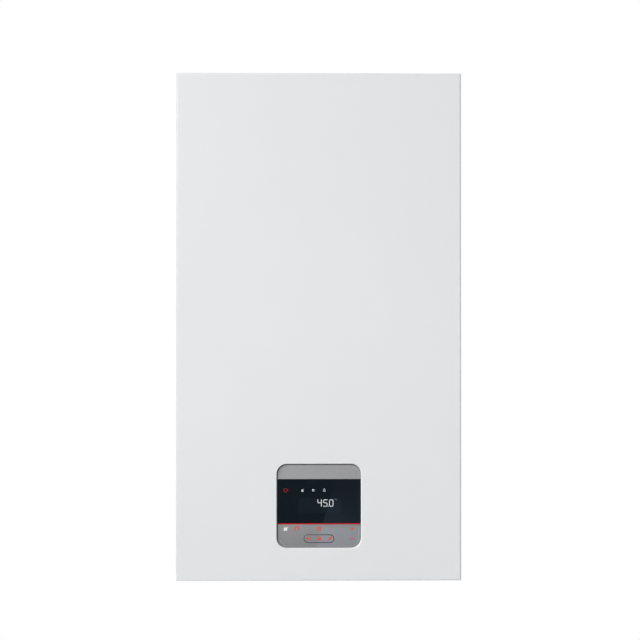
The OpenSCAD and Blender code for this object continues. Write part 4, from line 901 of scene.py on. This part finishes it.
def build_marks():
    """Everything that is printed on the panel or lit behind it."""
    face, glass = PANEL_FACE, GLASS_FACE
    lcd_low, lcd_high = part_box("lcd_module")
    edge = 1.5
    lcd_x = (lcd_low.x / MM + edge, lcd_high.x / MM - edge)
    lcd_z = (case_h(lcd_low.z) + edge - MARKS_H, case_h(lcd_high.z) - edge - MARKS_H)
    lcd = [rounded_rect(lcd_x, lcd_z, (0.3,) * 4, 0.0, 3)]
    marks("display_area", [lcd], glass, "control_box", "display_dark", DISPLAY)
    marks("display_digits", digit_shapes(), glass + MARK, "control_box", "display_dark", INK_WHITE)
    corner_mark = ribbon(filleted([(22.0, 8.4), (24.0, 8.4), (24.0, 6.6)], 0.8), 0.7)
    marks("display_corner_mark", [corner_mark], glass + MARK, "control_box", "display_dark", INK_GREY)
    marks("status_icons", status_shapes(), glass, "control_box", "panel_glass", INK_WHITE)
    marks("fault_icon", fault_shapes(), glass, "control_box", "panel_glass", INK_DARK_RED)
    marks("touch_icons_red", touch_shapes(), face, "control_box", "silver_panel", INK_RED)
    marks("touch_icon_white", radiator_shapes(), face, "control_box", "silver_panel", INK_BRIGHT)
    on_silver, on_glass = hairline_shapes(PANEL_SIDE / 2, case_h(GLASS_LOW.z) - PANEL_H,
                                          case_h(GLASS_HIGH.z) - PANEL_H)
    panel_centre = (PANEL_X, PANEL_H)
    marks("film_edge_light", on_silver, face, "control_box", "silver_panel", HAIR_LIGHT, panel_centre)
    marks("film_edge_dark", on_glass, glass, "control_box", "panel_glass", HAIR_DARK, panel_centre)
    marks("key_icons", key_shapes(), KEY_FACE, "key_bar", "silver_panel", INK_RED, (KEY_X, KEY_H))


build_panel()
build_marks()


# Small details on the parts behind the cover and below it

FACINGS = {
    "front": (Vector((0, -1, 0)), Vector((1, 0, 0)), Vector((0, 0, 1))),
    "left": (Vector((-1, 0, 0)), Vector((0, -1, 0)), Vector((0, 0, 1))),
    "up": (Vector((0, 0, 1)), Vector((1, 0, 0)), Vector((0, 1, 0))),
    "down": (Vector((0, 0, -1)), Vector((1, 0, 0)), Vector((0, -1, 0))),
}
SUNK = 0.3


def hexagon(r, steps=4):
    """The outline of a hexagon with corners at a radius, and with points along its sides."""
    corners = circle(0, 0, r, 6)
    points = []
    for a, b in zip(corners, corners[1:] + corners[:1]):
        across, up = (b[0] - a[0]) / steps, (b[1] - a[1]) / steps
        points += [(a[0] + across * i, a[1] + up * i) for i in range(steps)]
    return points


def stacked(name, place, facing, sections, material, closed=False):
    """A piece from outlines across an axis, each with its distance along the axis."""
    along, u, v = FACINGS[facing]
    start = at(*place)
    rings = [[[start + (along * far + u * a + v * b) * MM for a, b in outline]] for outline, far in sections]
    return loft(name, rings, material, closed)


def around(x, y, r, count, start):
    """Places evenly round a centre, from an angle in degrees."""
    return arc(x, y, r, start, start + 360, count)[:-1]


def screws(name, places, facing, r, tall):
    """Screw heads with a hexagon socket, on the frame."""
    socket = hexagon(r * 0.52)
    sections = [(circle(0, 0, r), -SUNK), (circle(0, 0, r), tall * 0.7), (circle(0, 0, r * 0.86), tall),
                (socket, tall), (socket, tall * 0.35)]
    heads = [stacked(f"{name}_{i}", place, facing, sections, STEEL) for i, place in enumerate(places)]
    return placed(joined(name, heads), "boiler_frame")


def collar(name, place, facing, outline, bore, length, material):
    """A band or a nut round a pipe, with its outer edges broken at both ends."""
    inner = circle(0, 0, bore, 24)
    small = [(x * 0.94, y * 0.94) for x, y in outline]
    sections = [(inner, 0.0), (small, 0.0), (outline, 0.8), (outline, length - 0.8), (small, length),
                (inner, length)]
    return stacked(name, place, facing, sections, material, True)


def thread(name, x, d, h, r):
    """Ridges of a thread on an upright connection."""
    pitch, tall = 1.8, 0.35
    root, base, crest = (circle(0, 0, r + grow, 40) for grow in (-0.5, 0.02, tall))
    sections = [(root, 0.0), (base, 0.0)]
    for i in range(int((h[1] - h[0]) / pitch)):
        sections += [(crest, (i + 0.45) * pitch), (crest, (i + 0.6) * pitch), (base, (i + 1) * pitch)]
    sections.append((root, sections[-1][1]))
    return stacked(name, (x, h[0], d), "up", sections, BRASS, True)


def build_screws():
    """Screws on the flue collar, the fan and the pump."""
    collar_top, flue_d = CASE_TOP + 3, 150.0
    fan_x, fan_h, fan_face = 110.0, 315.0, 236.0
    pump_x, pump_h, pump_face = 118.0, 115.0, 125.0
    screws("collar_screws", [(x, collar_top, d) for x, d in around(0, flue_d, 60, 4, 45)], "up", 3.8, 2.4)
    screws("fan_screws", [(x, h, fan_face) for x, h in around(fan_x, fan_h, 63, 8, 20)], "front", 3.0, 2.4)
    screws("pump_screws", [(x, h, pump_face) for x, h in around(pump_x, pump_h, 43, 4, 45)], "front", 2.2,
           2.6)


def build_nuts():
    """Union nuts where the heating pipes end."""
    nut = hexagon(14.5)
    bore, long = 8.6, 13.0
    pieces = [
        collar("nut_flow_low", (-131, 140, 100), "left", nut, bore, long, BRASS),
        collar("nut_return_low", (136, 177, 100), "up", nut, bore, long, BRASS),
        collar("nut_return_high", (20, 352, 195), "up", nut, bore, long, BRASS),
    ]
    placed(joined("union_nuts", pieces), "boiler_frame")


def build_threads():
    """Threads on the five connections below the base plate."""
    places = [(-100, 13.2), (100, 13.2), (-35, 10.5), (35, 10.5), (0, 10.5)]
    pieces = [thread(f"thread_{i}", x, 100, (3.0, 17.5), r) for i, (x, r) in enumerate(places)]
    placed(joined("connection_threads", pieces), "boiler_frame")


def digit_lines(digit):
    """The lines of a plain digit from 0 to 4, in a box of 2 by 3 about its centre."""
    return {
        0: [(-1, -1.5), (-1, 1.5), (1, 1.5), (1, -1.5), (-1, -1.5)],
        1: [(-0.6, 1.0), (0.2, 1.5), (0.2, -1.5)],
        2: [(-1, 1.0), (-0.6, 1.5), (1, 1.5), (1, 0.2), (-1, -1.5), (1, -1.5)],
        3: [(-1, 1.5), (1, 1.5), (0.1, 0.2), (1, -0.4), (1, -1.5), (-1, -1.5)],
        4: [(0.6, -1.5), (0.6, 1.5), (-1, -0.6), (1, -0.6)],
    }[digit]


def build_dial():
    """The gauge's dial, which faces down: a plain scale in bar, with its working range in green."""
    place, face, top, thick = (GAUGE_X, 29.0, GAUGE_D), circle(0, 0, 15.9, 40), 0.1, 0.06
    per_bar = 270 / 4
    pieces = [stacked("dial_face", place, "down", [(face, -0.05), (face, top)], DIAL_WHITE)]

    def mark(name, line, width, material):
        outline = ribbon(line, width)[0]
        pieces.append(stacked(name, place, "down", [(outline, top), (outline, top + thick)], material))

    def spot(angle, r):
        """A place on the dial, at an angle from the needle's rest."""
        a = math.radians(90 - angle)
        return (r * math.cos(a), -r * math.sin(a))

    for i in range(21):
        start, width = (11.6, 0.5) if i % 5 == 0 else (12.8, 0.3)
        mark(f"dial_tick_{i}", [spot(i * per_bar / 5, start), spot(i * per_bar / 5, 14.6)], width,
             DIAL_BLACK)
    mark("dial_green", [spot(per_bar * t / 20, 14.9) for t in range(20, 41)], 0.8, DIAL_GREEN)
    for i in range(5):
        cx, cy = spot(i * per_bar, 9.4)
        lines = [(cx + a * 0.75, cy + b * 0.75) for a, b in digit_lines(i)]
        mark(f"dial_number_{i}", lines, 0.4, DIAL_BLACK)
    placed(joined("gauge_dial", pieces), "boiler_frame")


build_screws()
build_nuts()
build_threads()
build_dial()


# Studio

FLOOR_DROP = 0.35
FLOOR_R = 1.9
WORLD_LIGHT = 0.36


def build_floor():
    """A pale disc under the object that fades into the background at its rim. From below it is
    clear, so that the connections are seen."""
    z = CASE_BOTTOM - FLOOR_DROP
    points = [(x, y, z) for x, y in circle(0, 0, FLOOR_R, 96)]
    g = Graph("studio_floor")
    pale = g.add("BsdfDiffuse", {"Color": mottled(g, rgb(236, 236, 236), 0.01, 3.0)}).outputs[0]
    glow = g.add("Emission", {"Color": (1.0, 1.0, 1.0, 1.0), "Strength": 1.0}).outputs[0]
    paths = g.add("LightPath").outputs
    seen = g.math("MAXIMUM", paths["Is Camera Ray"], paths["Is Glossy Ray"])
    flat = g.add("VectorMath", {0: g.place, 1: (1.0, 1.0, 0.0)}, operation="MULTIPLY").outputs[0]
    reach = g.add("VectorMath", {0: flat}, operation="LENGTH").outputs["Value"]
    fade = g.spread(reach, 0.25, 1.0, 0.5, FLOOR_R * 0.97)
    mixed = g.add("MixShader", {0: g.math("MULTIPLY", seen, fade), 1: pale, 2: glow}).outputs[0]
    clear = g.add("BsdfTransparent").outputs[0]
    under = g.add("NewGeometry").outputs["Backfacing"]
    shown = g.add("MixShader", {0: under, 1: mixed, 2: clear})
    g.add("OutputMaterial", {"Surface": shown.outputs[0]})
    floor = new_object("floor", points, [tuple(range(len(points)))], g.owner)


def card_tone(g, foot, head, bright, lowest):
    """The dim tone of a card from its foot to its head, with a brighter patch beside the seam, and
    the tone of its lowest part, which the panel's lower band shows."""
    foot_z, head_z, low_z, low_top = (at(0, h, 0).z for h in (-85, 34, -46, -40))
    rise = g.spread(g.axis("Z"), 0.0, 1.0, foot_z, head_z)
    aside = g.spread(g.axis("X"), 1.0, 0.3, 0.045, 0.130)
    patch = g.math("MULTIPLY", g.math("SUBTRACT", 1.0, rise), aside)
    low = g.spread(g.axis("Z"), 1.0, 0.0, low_z, low_top)
    return g.mix(low, g.mix(patch, g.mix(rise, foot, head), bright), lowest)


def build_cards():
    """Two dim cards that only gloss sees, the right one brighter towards its foot. Their seam is the
    slanting reflection in the panel."""
    d = PANEL_FACE + 1500
    x, h = (-150.0, 220.0), (-200.0, 110.0)
    lean, upper, lower = 0.294, (65.4, 45.6), (28.3, -80.7)
    seam_top, seam_low = upper[0] + (h[1] - upper[1]) * lean, lower[0] + (h[0] - lower[1]) * lean
    left, left_head = (0.095, 0.11, 0.115, 1.0), (0.09, 0.11, 0.12, 1.0)
    right, right_bright = (0.14, 0.15, 0.17, 1.0), (0.45, 0.60, 0.82, 1.0)
    right_low = (0.95, 1.2, 1.6, 1.0)
    halves = {
        "card_left": ((left, left_head, left, left),
                      [(x[0], h[0]), (seam_low, h[0]), (seam_top, h[1]), (x[0], h[1])]),
        "card_right": ((right, right, right_bright, right_low),
                       [(seam_low, h[0]), (x[1], h[0]), (x[1], h[1]), (seam_top, h[1])]),
    }
    for name, (tones, outline) in halves.items():
        g = Graph(name)
        glow = g.add("Emission", {"Color": card_tone(g, *tones), "Strength": 1.0}).outputs[0]
        g.add("OutputMaterial", {"Surface": glow})
        card = new_object(name, [at(a, b, d) for a, b in outline], [(0, 1, 2, 3)], g.owner)
        for ray in ("camera", "diffuse", "shadow", "transmission", "volume_scatter"):
            setattr(card, f"visible_{ray}", False)


def build_world():
    """White to the eye, in gloss and through glass; a softer grey as light."""
    g = Graph("studio", world=True)
    paths = g.add("LightPath").outputs
    seen = g.math("MAXIMUM", paths["Is Camera Ray"], paths["Is Glossy Ray"])
    seen = g.math("MAXIMUM", seen, paths["Is Transmission Ray"])
    light = g.add("Background", {"Color": (0.99, 0.995, 1.0, 1.0), "Strength": WORLD_LIGHT}).outputs[0]
    white = g.add("Background", {"Color": (1.0, 1.0, 1.0, 1.0), "Strength": 1.0}).outputs[0]
    shown = g.add("MixShader", {0: seen, 1: light, 2: white}).outputs[0]
    g.add("OutputWorld", {"Surface": shown})
    bpy.context.scene.world = g.owner


def soft_light(name, place, target, size, power, colour):
    """A square soft box."""
    lamp = bpy.data.lights.new(name, "AREA")
    lamp.shape = "SQUARE"
    lamp.size = size
    lamp.energy = power
    lamp.color = colour
    light = bpy.data.objects.new(name, lamp)
    light.location = place
    light.rotation_euler = (Vector(target) - Vector(place)).to_track_quat("-Z", "Y").to_euler()
    bpy.context.scene.collection.objects.link(light)


def build_lights():
    """A key light from the upper left and a fill from below."""
    centre = at(0, 350, 150)
    soft_light("key", (-2.04, -2.08, 0.9), centre, 1.4, 44.0, (1.0, 0.995, 0.99))
    soft_light("fill", (0.4, -2.7, -0.94), centre, 1.6, 21.0, (0.99, 0.995, 1.0))


def build_camera():
    """The photograph's view: a long lens, a little from the left and from below."""
    azimuth, elevation = math.radians(-1.33), math.radians(-0.57)
    distance = 3.3
    aim = at(1.5, 359.2, COVER_FACE)
    lens = bpy.data.cameras.new("camera")
    lens.lens = 134.66
    lens.sensor_width = 36.0
    lens.clip_end = 50.0
    camera = bpy.data.objects.new("camera", lens)
    back = Vector((math.sin(azimuth) * math.cos(elevation), -math.cos(azimuth) * math.cos(elevation),
                   math.sin(elevation)))
    camera.location = aim + distance * back
    camera.rotation_euler = (-back).to_track_quat("-Z", "Y").to_euler()
    bpy.context.scene.collection.objects.link(camera)
    bpy.context.scene.camera = camera


bpy.context.scene.view_settings.view_transform = "Standard"
build_floor()
build_cards()
build_world()
build_lights()
build_camera()
